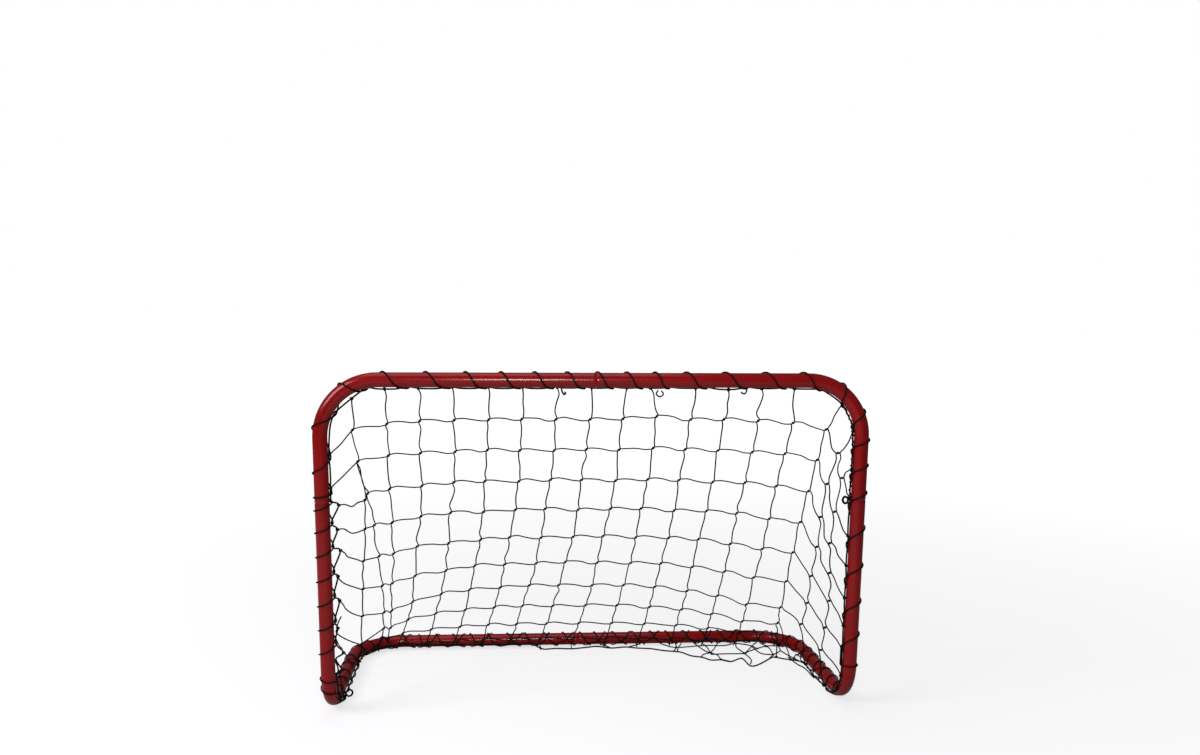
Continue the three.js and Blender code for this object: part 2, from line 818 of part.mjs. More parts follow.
function backMeshes() {
  const shares = [0, ...rowShares, lowShare];
  const lines = [-xCorner, ...columns, xCorner];
  const meshes = [];
  for (let i = 0; i < lines.length - 1; i += 1) {
    const atLeft = i === 0;
    const atRight = i === lines.length - 2;
    for (let row = 1; row < shares.length; row += 1) {
      const atTop = row === 1;
      const atBottom = row === shares.length - 1;
      const points = [
        backKnot(lines[i], shares[row]),
        backKnot(lines[i + 1], shares[row]),
        backKnot(lines[i + 1], shares[row - 1]),
        backKnot(lines[i], shares[row - 1]),
      ];
      const open = atBottom && (lines[i] < firstLow || lines[i + 1] > lastLow);
      meshes.push({ points, strands: [!open, !atRight, !atTop, !atLeft] });
    }
  }
  return meshes;
}

// The back net in its own plane, x across and y up the slope from the crossbar's middle.
function backNet() {
  const edge = xCorner - halfTwine - seatGap;
  const lastRow = rowShares[rowShares.length - 1];
  const bottom = -netEnd - halfTwine;
  const crossbarStart = postLength + bendLength + xBend;
  const tops = columns.map((x) => flat(x, -borderReachAt(crossbarStart + x) - cordGap)).reverse();
  const lower = (x) => backKnot(x, lastRow).add(flat(0, -overrun));
  const cornerLow = backKnot(xCorner, lastRow).y - overrun;
  const cornerHigh = backKnot(xCorner, rowShares[0]).y + overrun;
  const outline = [
    flat(drifted(firstLow, lowShare) - overrun, bottom),
    flat(drifted(lastLow, lowShare) + overrun, bottom),
    lower(lastLow).add(flat(overrun, 0)),
    ...columns.filter((x) => x > lastLow).map(lower),
    flat(edge, cornerLow),
    flat(edge, cornerHigh),
    flat(lastColumn + overrun, tops[0].y),
    ...tops,
    flat(firstColumn - overrun, tops[tops.length - 1].y),
    flat(-edge, cornerHigh),
    flat(-edge, cornerLow),
    ...columns.filter((x) => x < firstLow).map(lower),
    lower(firstLow).add(flat(-overrun, 0)),
  ];
  const across = vec(1, 0, 0);
  const up = netWay.clone().negate();
  const matrix = new THREE.Matrix4().makeBasis(across, up, across.clone().cross(up));
  matrix.setPosition(vec(0, yFront, zHigh));
  return geometryOf(netPanel(outline, backMeshes())).applyMatrix4(matrix);
}

// The side nets, drawn with y to the rear from the post's middle, and z up.

const slantKnots = rowShares.map((share) => {
  const depth = rowDepth(share, xCorner);
  return flat(depth * netWay.y, zHigh + depth * netWay.z);
});
const slantTop = flat(cornerKnot.y - yFront, cornerKnot.z);
const slantFoot = cornerBorder(1, 1 / 2);
const slantLine = [slantTop, ...slantKnots, flat(slantFoot.y - yFront, slantFoot.z)];
const lastSideRow = rowShares.length - 1;
const sideFloor = legBorderZ + cordGap;

// How many meshes a row of the side net has between the post and the corner strand.
const sideGaps = (row) =>
  Math.max(1, Math.round(slantKnots[Math.min(row, lastSideRow)].x / sideMeshWidth));

function sideKnot(row, column) {
  if (row > lastSideRow) {
    const above = sideKnot(lastSideRow, column);
    const atCorner = column === sideGaps(row);
    return atCorner ? slantLine[slantLine.length - 1].clone() : flat(above.x, sideFloor);
  }
  const share = (column / sideGaps(row)) ** sideCrowdPower;
  const post = flat(0, zHigh - cornerBendRadius - (postLength * row) / lastSideRow);
  const knot = post.lerp(slantKnots[row], share);
  return knot.setY(knot.y - (sideSlack * share * (1 - share) ** 2) / slackPeak);
}

function sideMeshes() {
  const top = [];
  for (let column = 0; column <= sideGaps(0); column += 1) top.push(sideKnot(0, column));
  const meshes = [{ points: [...top, slantTop], strands: [...top.map(() => true), false] }];
  for (let row = 1; row <= lastSideRow + 1; row += 1) {
    const gaps = sideGaps(row - 1);
    const lower = row <= lastSideRow;
    for (let column = 0; column < gaps; column += 1) {
      const points = [
        sideKnot(row, column),
        sideKnot(row, column + 1),
        sideKnot(row - 1, column + 1),
        sideKnot(row - 1, column),
      ];
      meshes.push({ points, strands: [lower, true, true, column > 0] });
    }
    for (let column = gaps; column < sideGaps(row); column += 1) {
      const points = [sideKnot(row, column), sideKnot(row, column + 1), slantKnots[row - 1]];
      meshes.push({ points, strands: [true, true, true] });
    }
  }
  return meshes;
}

// How far out a place on the side net lies. It leaves the border at the post and turns in
// to the corner strand, later near the floor than at the top.
function sideX(y, z) {
  const height = THREE.MathUtils.clamp(z - zFootBend, 0, postLength);
  const outer = z < zFootBend ? legBorderX : xPost - borderReachAt(height);
  let edge = slantLine[slantLine.length - 1].x;
  slantLine.slice(1).forEach((low, i) => {
    const high = slantLine[i];
    if (z < low.y || z > high.y) return;
    edge = high.x + ((low.x - high.x) * (high.y - z)) / (high.y - low.y);
  });
  if (z > slantTop.y) edge = slantTop.x;
  const share = THREE.MathUtils.clamp(y / edge, 0, 1);
  const power = 1 + sideCurl * (1 - z / zHigh) ** sideCurlPower;
  return outer - (outer - xCorner) * share ** power;
}

function sideOutline() {
  const last = slantLine.length - 1;
  const outward = slantLine.map((point, i) => {
    const way = slantLine[Math.min(i + 1, last)].clone().sub(slantLine[Math.max(i - 1, 0)]);
    way.normalize();
    return { way, normal: flat(-way.y, way.x) };
  });
  const top = slantLine[0].clone().addScaledVector(outward[0].way, cordGap + seatGap);
  const foot = slantLine[last].clone().addScaledVector(outward[last].way, -cordGap);
  const line = [top, ...slantLine.slice(1, last), foot];
  const outer = line.map((p, i) => p.clone().addScaledVector(outward[i].normal, halfTwine));
  return [
    flat(cordGap, sideFloor),
    flat(yBend - yFront, sideFloor),
    foot.clone().addScaledVector(outward[last].normal, -overrun),
    ...outer.reverse(),
    top.clone().addScaledVector(outward[0].normal, -overrun),
    flat(cordGap, slantKnots[0].y),
  ];
}

function sideNet(side) {
  const geometry = geometryOf(netPanel(sideOutline(), sideMeshes()));
  const position = geometry.getAttribute("position");
  for (let i = 0; i < position.count; i += 1) {
    const y = position.getX(i);
    const z = position.getY(i);
    position.setXYZ(i, side * (sideX(y, z) + position.getZ(i)), yFront + y, z);
  }
  if (side < 0) geometry.index.array.reverse();
  return geometry;
}

// The net's loose end, flat on the floor between its border and the rear bar. The back
// net's lowest strand lies on its rear edge.
function skirtNet() {
  const rear = yFront + netEnd * netWay.y;
  const top = zHigh + netEnd * netWay.z - netSlant - seatGap;
  const beside = looseRoute.slice(0, -1).map((point, i) => {
    const way = looseRoute[i + 1].clone().sub(looseRoute[Math.max(i - 1, 0)]).normalize();
    return flat(point.x - way.y * cordGap, point.y + way.x * cordGap);
  });
  const route = beside.filter(({ y }) => y < rear - twineThickness);
  const corner = [1 / 3, 2 / 3].map((share) => cornerBorder(1, share));
  const edge = legBorderX - cordGap;
  const region = [
    ...route,
    flat(edge, route[route.length - 1].y),
    flat(edge, yBend),
    ...corner.map(({ x, y }) => flat(x, Math.min(y, rear))),
    flat(xBend, rear + halfTwine),
    flat(route[0].x, rear + halfTwine),
  ];
  const meshes = [];
  const lowest = Math.min(...route.map(({ y }) => y));
  const lines = columns.map((x) => drifted(x, 1)).filter((x) => x > route[0].x - meshPitch);
  lines.push(lines[lines.length - 1] + meshPitch, lines[lines.length - 1] + 2 * meshPitch);
  lines.slice(0, -1).forEach((x, i) => {
    for (let y = rear; y > lowest; y -= meshPitch) {
      const points = [
        flat(x, y - meshPitch),
        flat(lines[i + 1], y - meshPitch),
        flat(lines[i + 1], y),
        flat(x, y),
      ];
      meshes.push({ points, strands: [true, true, true, true] });
    }
  });
  return geometryOf(netPanel(region, meshes)).translate(0, 0, top - halfTwine);
}

// Assembly

const pieces = [];
const add = (name, geometry, look) => pieces.push({ name, geometry, look });

Object.entries(tubes).forEach(([name, tube]) => add(name, tubeGeometry(tube), red));
Object.entries(joints).forEach(([name, joint]) => {
  add(`snap_button_${name}`, geometryOf(solidOf(placed(buttonGeometry(), joint))), steel);
  add(`spring_clip_${name}`, geometryOf(solidOf(placed(clipGeometry(), joint))), steel);
});
Object.entries(lashings).forEach(([name, { geometry }]) => add(name, geometry, black));
add("border_cord_front", cordThrough(frontBorderPoints(), borderDiameter, borderSides), black);
add("border_cord_floor", cordThrough(floorBorderPoints(), borderDiameter, borderSides), black);
add("net_back", backNet(), black);
add("net_side_left", sideNet(-1), black);
add("net_side_right", sideNet(1), black);
add("net_skirt", skirtNet(), black);

// The origin moves to the middle of the floor under the whole goal, lashings and all.
const whole = new THREE.Box3();
pieces.forEach(({ geometry }) => {
  geometry.computeBoundingBox();
  whole.union(geometry.boundingBox);
});
const origin = whole.getCenter(vec(0, 0, 0)).setZ(whole.min.z);

const group = new THREE.Group();
group.name = "floorball_goal";
pieces.forEach(({ name, geometry, look }) => {
  const solid = geometry.index ? geometry.toNonIndexed() : geometry;
  solid.translate(-origin.x, -origin.y, -origin.z);
  solid.computeVertexNormals();
  const mesh = new THREE.Mesh(solid, new THREE.MeshStandardMaterial(look));
  mesh.name = name;
  group.add(mesh);
});

export default group;
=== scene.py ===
# %% [markdown]
# # A small floorball goal
# Six bent steel tubes push together into a frame, and a cord laces a knotted net to it.
# The frame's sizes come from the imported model, and this script makes what the eye sees on
# it: smooth painted tubes, cords with their twist, and a net with a knot at each crossing.
# Everything is in metres, so sizes are written in millimetres times `mm`.

import math

import bpy
import numpy as np
from mathutils import Matrix, Vector


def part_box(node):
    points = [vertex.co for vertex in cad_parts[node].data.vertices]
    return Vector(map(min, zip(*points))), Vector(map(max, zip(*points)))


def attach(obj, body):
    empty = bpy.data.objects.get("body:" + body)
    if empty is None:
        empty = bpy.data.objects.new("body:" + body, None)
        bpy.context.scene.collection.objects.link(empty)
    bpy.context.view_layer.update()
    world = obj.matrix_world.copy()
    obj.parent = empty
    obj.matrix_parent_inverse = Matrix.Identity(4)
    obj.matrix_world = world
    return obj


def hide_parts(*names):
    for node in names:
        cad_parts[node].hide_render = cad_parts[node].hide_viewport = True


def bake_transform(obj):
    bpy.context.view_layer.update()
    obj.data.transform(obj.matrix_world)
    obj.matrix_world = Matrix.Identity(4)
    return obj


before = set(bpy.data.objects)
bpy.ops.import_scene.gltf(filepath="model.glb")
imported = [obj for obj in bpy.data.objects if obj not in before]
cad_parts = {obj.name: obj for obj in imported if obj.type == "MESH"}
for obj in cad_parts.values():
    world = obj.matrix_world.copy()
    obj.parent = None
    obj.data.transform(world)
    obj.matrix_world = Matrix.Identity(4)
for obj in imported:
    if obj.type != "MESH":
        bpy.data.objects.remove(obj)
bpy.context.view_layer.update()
mm = 0.001
chance = np.random.default_rng(7)
print(len(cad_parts), "pieces came from the packed model")


def placed(name, data):
    """Sets a mesh, a lamp or a camera in the scene."""
    made = bpy.data.objects.new(name, data)
    bpy.context.scene.collection.objects.link(made)
    return made


# %% [markdown]
# ## The camera
# The camera stands where the photographer stood: a little left of the goal's middle and a
# little higher than the crossbar. The picture's centre lies above the lens's own axis, which
# a shift of the lens gives.

# %% The camera
photo_width, photo_height = 1200, 755
focal_px = 1011.4
axis_px = (573.9, 486.55)
camera_place = np.array([-149.2, -1892.4, 694.8]) * mm
yaw, pitch, roll = 0.0662, 0.1658, 0.006


def turned(a, b, angle):
    """Two ways square to each other, turned in their plane from a toward b."""
    return a * math.cos(angle) + b * math.sin(angle), b * math.cos(angle) - a * math.sin(angle)


view_right, view_way, view_up = np.eye(3)
view_right, view_way = turned(view_right, view_way, -yaw)
view_up, view_way = turned(view_up, view_way, pitch)
view_right, view_up = turned(view_right, view_up, roll)

camera = placed("camera", bpy.data.cameras.new("camera"))
turn = np.eye(4)
turn[:3, 0], turn[:3, 1], turn[:3, 2], turn[:3, 3] = view_right, view_up, -view_way, camera_place
camera.matrix_world = Matrix(turn.tolist())
camera.data.sensor_width = 36
camera.data.lens = focal_px * camera.data.sensor_width / photo_width
camera.data.shift_x = (photo_width / 2 - axis_px[0]) / photo_width
camera.data.shift_y = (axis_px[1] - photo_height / 2) / photo_width
bpy.context.scene.camera = camera


def pixel(point):
    """Where a point of the goal shows in the photograph's frame."""
    offset = np.asarray(point) - camera_place
    across, up, depth = offset @ view_right, offset @ view_up, offset @ view_way
    return np.array([axis_px[0] + focal_px * across / depth, axis_px[1] - focal_px * up / depth])


def seen_at(pixels, axis, value):
    """The point that shows at a pixel and has that value of x, y or z (axis 0, 1 or 2)."""
    across = (pixels[0] - axis_px[0]) / focal_px
    up = (axis_px[1] - pixels[1]) / focal_px
    ray = view_way + across * view_right + up * view_up
    return camera_place + ray * (value - camera_place[axis]) / ray[axis]


print("the goal's origin shows at pixel", pixel((0, 0, 0)).round(1))

# %% [markdown]
# ## The frame's lines
# A bent tube is a round section carried along straights and quarter bends. One small class
# holds such a line and says where each distance along it lies, for the tubes and for every
# cord that is wound on them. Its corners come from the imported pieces' own boxes.

# %% Sizes and lines
tube_radius = 12.5 * mm
tube_wall = 1.2 * mm
slip = 0.3 * mm
corner_bend = 98 * mm
foot_bend = 66 * mm
shoulder = 2.5 * mm
spigot = 40 * mm

side_low, side_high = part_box("side_left")
x_post = -side_low.x - tube_radius
y_front = side_low.y + tube_radius
z_low = side_low.z + tube_radius
z_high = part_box("crossbar_left")[1].z - tube_radius
y_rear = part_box("rear_bar_left")[1].y - tube_radius
z_seam = side_high.z + shoulder / 2
y_seam = side_high.y + shoulder / 2
z_foot = z_low + foot_bend
y_bend = y_rear - corner_bend
x_bend = x_post - corner_bend


def unit(v):
    return v / np.linalg.norm(v)


class Line:
    """Straights joined by quarter bends. at(s) gives the place s along it and its way."""

    def __init__(self, bend, *corners):
        corners = [np.array(c, float) for c in corners]
        ways = [unit(b - a) for a, b in zip(corners, corners[1:])]
        self.bend, self.parts, start = bend, [], corners[0]
        for corner, a, b in zip(corners[1:-1], ways, ways[1:]):
            reach = corner - bend * a
            self.parts.append((np.linalg.norm(reach - start), start, a, None))
            self.parts.append((bend * math.pi / 2, reach + bend * b, a, b))
            start = corner + bend * b
        self.parts.append((np.linalg.norm(corners[-1] - start), start, ways[-1], None))
        self.length = sum(part[0] for part in self.parts)

    def at(self, s):
        for part in self.parts[:-1]:
            if s <= part[0]:
                break
            s -= part[0]
        else:
            part = self.parts[-1]
        _, origin, a, b = part
        if b is None:
            return origin + a * s, a
        angle = s / self.bend
        place = origin + self.bend * (a * math.sin(angle) - b * math.cos(angle))
        return place, a * math.cos(angle) + b * math.sin(angle)


front_line = Line(
    corner_bend,
    (-x_post, y_front, z_foot),
    (-x_post, y_front, z_high),
    (x_post, y_front, z_high),
    (x_post, y_front, z_foot),
)
rear_line = Line(
    corner_bend,
    (-x_post, y_bend, z_low),
    (-x_post, y_rear, z_low),
    (x_post, y_rear, z_low),
    (x_post, y_bend, z_low),
)
leg_lines = {
    side: Line(
        foot_bend,
        (side * x_post, y_front, z_foot),
        (side * x_post, y_front, z_low),
        (side * x_post, y_bend, z_low),
    )
    for side in (-1, 1)
}
print("front frame", round(front_line.length / mm), "mm, rear", round(rear_line.length / mm), "mm")

# %% [markdown]
# ## One way to make every round thing
# Tubes, cords, knots and buttons are all rings of points joined by faces. A skein collects
# such runs into one mesh. It also writes a UV map, metres along and turns around, which
# gives a twisted cord its lay without any picture.

# %% Skeins of rings
floor_gap = 0.05 * mm
# How far a cord's end rings lie beyond its end, and how wide they are, in radii.
rounded_end = [(0.5, 0.45), (0.3, 0.8)]


def circle(sides, across, up):
    """A ring of ways that turns from across to up and on."""
    angles = np.arange(sides) * 2 * math.pi / sides
    return np.multiply.outer(np.cos(angles), across) + np.multiply.outer(np.sin(angles), up)


def frames(points):
    """The way along a line, and two ways across it that turn as little as they can."""
    along = np.gradient(points, axis=0)
    along /= np.linalg.norm(along, axis=1)[:, None]
    side = np.zeros_like(points)
    start = np.cross(along[0], (0, 0, 1))
    side[0] = unit(start if np.linalg.norm(start) > 0.1 else np.cross(along[0], (0, 1, 0)))
    for i in range(1, len(points)):
        side[i] = unit(side[i - 1] - along[i] * (side[i - 1] @ along[i]))
    return along, side, np.cross(along, side)


class Skein:
    """Rings of points joined into one mesh."""

    def __init__(self):
        self.points, self.faces, self.uvs, self.count = [], [], [], 0

    def rings(self, rings, closed=False):
        rings = np.asarray(rings)
        rows, sides = rings.shape[:2]
        here = self.count + np.arange(rows * sides).reshape(rows, sides)
        there = np.roll(here, -1, axis=0)
        quads = np.stack([here, np.roll(here, -1, 1), np.roll(there, -1, 1), there], axis=2)
        middles = rings.mean(axis=1)
        steps = np.linalg.norm(np.diff(middles, axis=0), axis=1)
        u = np.concatenate([[0], np.cumsum(steps)])
        u_next = np.append(u[1:], u[-1] if not closed else u[-1] + steps[-1])
        v = np.arange(sides) / sides
        uv = np.empty((rows, sides, 4, 2))
        uv[..., 0] = np.stack([u, u, u_next, u_next], axis=1)[:, None]
        uv[..., 1] = np.stack([v, v + 1 / sides, v + 1 / sides, v], axis=1)
        last = rows if closed else rows - 1
        self.faces += quads[:last].reshape(-1, 4).tolist()
        self.uvs.append(uv[:last].reshape(-1, 2))
        if not closed:
            self.faces += [here[0][::-1].tolist(), here[-1].tolist()]
            self.uvs.append(np.stack([np.full(2 * sides, u[-1]), np.tile(v, 2)], axis=1))
        self.points.append(rings.reshape(-1, 3))
        self.count += rows * sides

    def cord(self, points, radius, sides=8):
        """A round cord through points, with rounded ends. The floor holds it up."""
        points = np.array(points, float)
        points[:, 2] = np.maximum(points[:, 2], radius + floor_gap)
        first, last = unit(points[0] - points[1]), unit(points[-1] - points[-2])
        starts = [points[0] + first * radius * beyond for beyond, _ in rounded_end]
        ends = [points[-1] + last * radius * beyond for beyond, _ in rounded_end[::-1]]
        points = np.concatenate([starts, points, ends])
        radii = np.full(len(points), radius)
        for i, (_, width) in enumerate(rounded_end):
            radii[[i, -1 - i]] *= width
        _, side, up = frames(points)
        rings = circle(sides, side, up).swapaxes(0, 1)
        self.rings(points[:, None] + rings * radii[:, None, None])

    def mesh(self, name):
        mesh = bpy.data.meshes.new(name)
        mesh.from_pydata(np.concatenate(self.points).tolist(), [], self.faces)
        return mesh

    def piece(self, name, finish, *replaces, body="frame", slot=None):
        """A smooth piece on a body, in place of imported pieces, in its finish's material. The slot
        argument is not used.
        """
        mesh = self.mesh(name)
        layer = mesh.uv_layers.new(name="length_and_turn")
        layer.data.foreach_set("uv", np.concatenate(self.uvs).astype(np.float32).ravel())
        mesh.shade_smooth()
        mesh.materials.append(finish.material)
        made = placed(name, mesh)
        if body:
            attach(made, body)
        if replaces:
            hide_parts(*replaces)
        print(name, len(mesh.polygons), "faces")
        return made


def curve(points, steps):
    """A smooth run through the given points, with steps places from each to the next."""
    points = np.asarray(points, float)
    padded = np.concatenate([[2 * points[0] - points[1]], points, [2 * points[-1] - points[-2]]])
    t = (np.arange(steps) / steps)[:, None]
    square, cube = t * t, t * t * t
    runs = []
    for a, b, c, d in zip(padded, padded[1:], padded[2:], padded[3:]):
        on_square, on_cube = 2 * a - 5 * b + 4 * c - d, 3 * b - a - 3 * c + d
        runs.append(0.5 * (2 * b + (c - a) * t + on_square * square + on_cube * cube))
    return np.concatenate([*runs, points[-1:]])


# %% [markdown]
# ## Writing a finish
# A finish is a material made of nodes. Sums on sockets are written as plain Python, since a
# small class turns `peel - chip` or `noise * 0.2` into Math nodes. Any other node comes from
# one method, which takes its kind, its settings and what goes into it. The kinds that every
# finish needs, noise, colours and bumps, have a short name each.

# %% Finishes


def maths(operation):
    """What a sign between two values does: it makes a Math node."""

    def worked_out(value, other):
        return value.finish.node("Math", {0: value, 1: other}, operation=operation)

    return worked_out


class Value:
    """A number that changes over a surface."""

    __add__, __sub__ = maths("ADD"), maths("SUBTRACT")
    __mul__, __gt__ = maths("MULTIPLY"), maths("GREATER_THAN")

    def __init__(self, finish, socket):
        self.finish, self.socket = finish, socket


class Finish:
    """A material's nodes, round one Principled shader."""

    def __init__(self, name, **constants):
        self.name, self.material = name, bpy.data.materials.new(name)
        self.material.use_nodes = True
        self.tree = self.material.node_tree
        self.shader = self.tree.nodes["Principled BSDF"]
        for socket, value in constants.items():
            self.shader.inputs[socket.replace("_", " ")].default_value = value

    def node(self, kind, inputs=None, out=0, **settings):
        node = self.tree.nodes.new("ShaderNode" + kind)
        for key, value in settings.items():
            setattr(node, key, value)
        for key, value in (inputs or {}).items():
            if isinstance(value, Value):
                self.tree.links.new(value.socket, node.inputs[key])
            else:
                node.inputs[key].default_value = value
        return Value(self, node.outputs[out])

    def feed(self, socket, value):
        self.tree.links.new(value.socket, self.shader.inputs[socket])

    def noise(self, scale, detail, roughness=0.5):
        place = self.node("TexCoord", out="Object")
        inputs = {"Vector": place, "Scale": scale, "Detail": detail, "Roughness": roughness}
        return self.node("TexNoise", inputs)

    def ramp(self, value, *stops):
        """A colour that goes from the first stop's to the second's as the value rises."""
        colour = self.node("ValToRGB", {"Fac": value})
        for spot, (place, shade) in zip(colour.socket.node.color_ramp.elements, stops):
            spot.position, spot.color = place, shade
        return colour

    def mix(self, share, first, second):
        return self.node("Mix", {0: share, 6: first, 7: second}, 2, data_type="RGBA")

    def feed_bump(self, strength, distance, height):
        inputs = {"Strength": strength, "Distance": distance, "Height": height}
        self.feed("Normal", self.node("Bump", inputs))


# %% [markdown]
# ## Red enamel on the tubes
# The tubes are dipped or powder coated in a deep glossy red. Up close such paint has a
# faint orange peel, it is dusty in patches, and it chips to bare metal where two tubes are
# pushed together. The chips need to know where the rims are, so each tube mesh carries a
# number, `rub`, that is 1 at a rim and fades away from it.

# %% The tubes' enamel


def enamel():
    finish = Finish("red_enamel", Coat_Weight=0.3, Coat_Roughness=0.16, Specular_IOR_Level=0.28)
    peel, blotch = finish.noise(700, 2), finish.noise(9, 3)
    speck, smear = finish.noise(420, 4, 0.7), finish.noise(30, 1)
    deep, bright = (0.28, 0.003, 0.0035, 1), (0.38, 0.0045, 0.0045, 1)
    bared = (0.45, 0.3, 0.28, 1)
    rub = finish.node("Attribute", out="Fac", attribute_name="rub")
    chip = (rub * 0.62 + speck * 0.9) > 1.03
    red = finish.ramp(blotch, (0.3, deep), (0.7, bright))
    finish.feed("Base Color", finish.mix(chip, red, bared))
    finish.feed("Metallic", chip * 0.6)
    finish.feed("Roughness", smear * 0.14 + blotch * 0.08 + 0.08)
    finish.feed_bump(0.05, 0.05 * mm, peel * 0.5 - chip * 2)
    return finish


red_enamel = enamel()


# %% [markdown]
# ## Spring steel
# The buttons and the clips behind them are plated steel, a little dull in places, with a
# fine grain that breaks its shine.

# %% Steel


def spring_steel():
    finish = Finish("spring_steel", Metallic=1.0)
    grain, cloud = finish.noise(900, 3, 0.6), finish.noise(120, 2)
    dull, bright = (0.42, 0.42, 0.41, 1), (0.62, 0.61, 0.58, 1)
    finish.feed("Base Color", finish.ramp(cloud, (0.35, dull), (0.7, bright)))
    finish.feed("Roughness", grain * 0.2 + 0.2)
    finish.feed_bump(0.2, 0.03 * mm, grain)
    return finish


steel = spring_steel()

# %% [markdown]
# ## Cord and twine
# The net's twine and the thicker cords are black twisted nylon. The UV map runs in metres
# along and turns around, so a sine of both together draws the strands of the lay as they
# wind round the cord. A fine noise frays them, and dust greys the tops of the strands.

# %% Cord and twine
nylon_black = (0.003, 0.003, 0.0035, 1)


def twisted(name, lay, strands, dust):
    """Cord whose strands come round once in the lay, with dust of this brightness on them."""
    finish = Finish(name, Specular_IOR_Level=0.12)
    uv = finish.node("UVMap", uv_map="length_and_turn")
    u = finish.node("SeparateXYZ", {0: uv})
    v = Value(finish, u.socket.node.outputs["Y"])
    angle = u * (2 * math.pi / lay) + v * (2 * math.pi * strands)
    strand = finish.node("Math", {0: angle}, operation="SINE") * 0.5 + 0.5
    fray, patch = finish.noise(1500, 3, 0.7), finish.noise(25, 3)
    grey = (dust, dust, dust * 1.05, 1)
    finish.feed("Base Color", finish.mix(strand * fray * patch * 2, nylon_black, grey))
    finish.feed("Roughness", fray * 0.3 + 0.6)
    finish.feed_bump(0.8, 0.2 * mm, strand + fray * 0.4)
    return finish


twine_finish = twisted("net_twine", 7 * mm, 3, 0.02)
lashing_finish = twisted("lashing_cord", 9 * mm, 4, 0.025)
border_finish = twisted("border_cord", 10 * mm, 4, 0.02)

# %% [markdown]
# ## The tubes
# Each tube is one closed skin: out along its outside, over the rim, and back through its
# bore. One end of a joint is a plain socket. The other narrows at a shoulder to a spigot
# that slips inside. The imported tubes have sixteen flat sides, which would show along the
# highlights, so each is replaced with a round one of the same size.

# %% The tubes
tube_sides, hole_sides = 56, 32
rim_round = 0.3 * mm
rub_reach = 5 * mm
button_radius = 3 * mm
button_from_seam = shoulder / 2 + spigot / 2
hole_ring_gap = 2.2 * mm
straight_start = 30 * mm
bend_rings = 34


def tube_end(socket):
    """(distance into the tube, radius) from its outside over its rim to its bore."""
    bore, rim = tube_radius - tube_wall, shoulder / 2
    if socket:
        rounded = []
        for angle in np.linspace(0, math.pi / 2, 4):
            fall = rim_round * (1 - math.cos(angle))
            rounded.append((rim + rim_round * (1 - math.sin(angle)), tube_radius - fall))
        return [*rounded, (rim, bore + rim_round), (rim + rim_round, bore)]
    tip, narrow = -rim - spigot, tube_wall + slip
    outer, inner = tube_radius - narrow, bore - narrow
    profile = [(rim, tube_radius), (-rim, outer), (tip + rim_round, outer)]
    profile += [(tip, outer - rim_round), (tip, inner + rim_round)]
    return [*profile, (tip + rim_round, inner), (-rim, inner), (rim, bore)]


def tube(name, corners, bend, sockets):
    """A bent tube from seam to seam, with a socket or a spigot at each end."""
    line = Line(bend, *corners)
    start, end = tube_end(sockets[0]), tube_end(sockets[1])
    first, last = line.parts[0][0], line.length - line.parts[2][0]
    near = [button_from_seam + i * hole_ring_gap for i in range(-3, 4)]
    stations = [rub_reach, *near, *np.linspace(straight_start, first, 4)]
    stations += [*np.linspace(first, last, bend_rings)[1:-1]]
    stations += [*np.linspace(last, line.length - straight_start, 4)]
    stations += [*(line.length - s for s in near[::-1]), line.length - rub_reach]
    # An end's profile runs from outside to bore, so the first one is walked backwards.
    profile = [*start[::-1], *((s, tube_radius) for s in stations)]
    profile += [(line.length - s, r) for s, r in end]
    profile += [(s, tube_radius - tube_wall) for s in stations[::-1]]
    normal = unit(np.cross(line.parts[0][2], line.parts[2][2]))
    rings = []
    for s, radius in profile:
        place, way = line.at(s)
        across = np.cross(normal, way)
        rings.append(place + circle(tube_sides, across, np.cross(way, across)) * radius)
    skein = Skein()
    skein.rings(rings, closed=True)
    made = skein.piece(name + "_painted", red_enamel, name, slot="tube_paint")
    rub = made.data.attributes.new("rub", "FLOAT", "POINT")
    along = np.array(profile)[:, 0]
    from_rim = np.minimum(abs(along), abs(line.length - along))
    worn = np.maximum(0, 1 - from_rim / rub_reach)
    rub.data.foreach_set("value", np.repeat(worn, tube_sides).astype(np.float32))
    return made


# Each seam has a place, the way to its button, and the way that the button faces.
seams = {
    "crossbar": ((0, y_front, z_high), (1, 0, 0), (0, 1, 0)),
    "rear": ((0, y_rear, z_low), (1, 0, 0), (0, 1, 0)),
    "post_left": ((-x_post, y_front, z_seam), (0, 0, -1), (0, 1, 0)),
    "post_right": ((x_post, y_front, z_seam), (0, 0, -1), (0, 1, 0)),
    "leg_left": ((-x_post, y_seam, z_low), (0, -1, 0), (-1, 0, 0)),
    "leg_right": ((x_post, y_seam, z_low), (0, -1, 0), (1, 0, 0)),
}
# A tube's first seam, its last, its corner's y and z, and its bend.
tube_kinds = {
    "crossbar": ("crossbar", "post", (y_front, z_high), corner_bend),
    "side": ("post", "leg", (y_front, z_low), foot_bend),
    "rear_bar": ("rear", "leg", (y_rear, z_low), corner_bend),
}
hands = [(-1, "left"), (1, "right")]


def bore_out(made, seam):
    """Cuts the round hole that a joint's button comes through."""
    place, into, out = (np.array(v, float) for v in seams[seam])
    centre = place + into * button_from_seam
    points = np.array([centre, centre + out * tube_radius / 2, centre + out * 2 * tube_radius])
    _, side, up = frames(points)
    drill = Skein()
    drill.rings(points[:, None] + circle(hole_sides, side[0], up[0]) * (button_radius + slip))
    cutter = placed("drill", drill.mesh("drill"))
    cut = made.modifiers.new("hole", "BOOLEAN")
    cut.operation, cut.solver, cut.object = "DIFFERENCE", "EXACT", cutter
    bpy.context.view_layer.update()
    holed = made.evaluated_get(bpy.context.evaluated_depsgraph_get())
    ready = bpy.data.meshes.new_from_object(holed)
    made.modifiers.remove(cut)
    made.data = ready
    bpy.data.objects.remove(cutter)


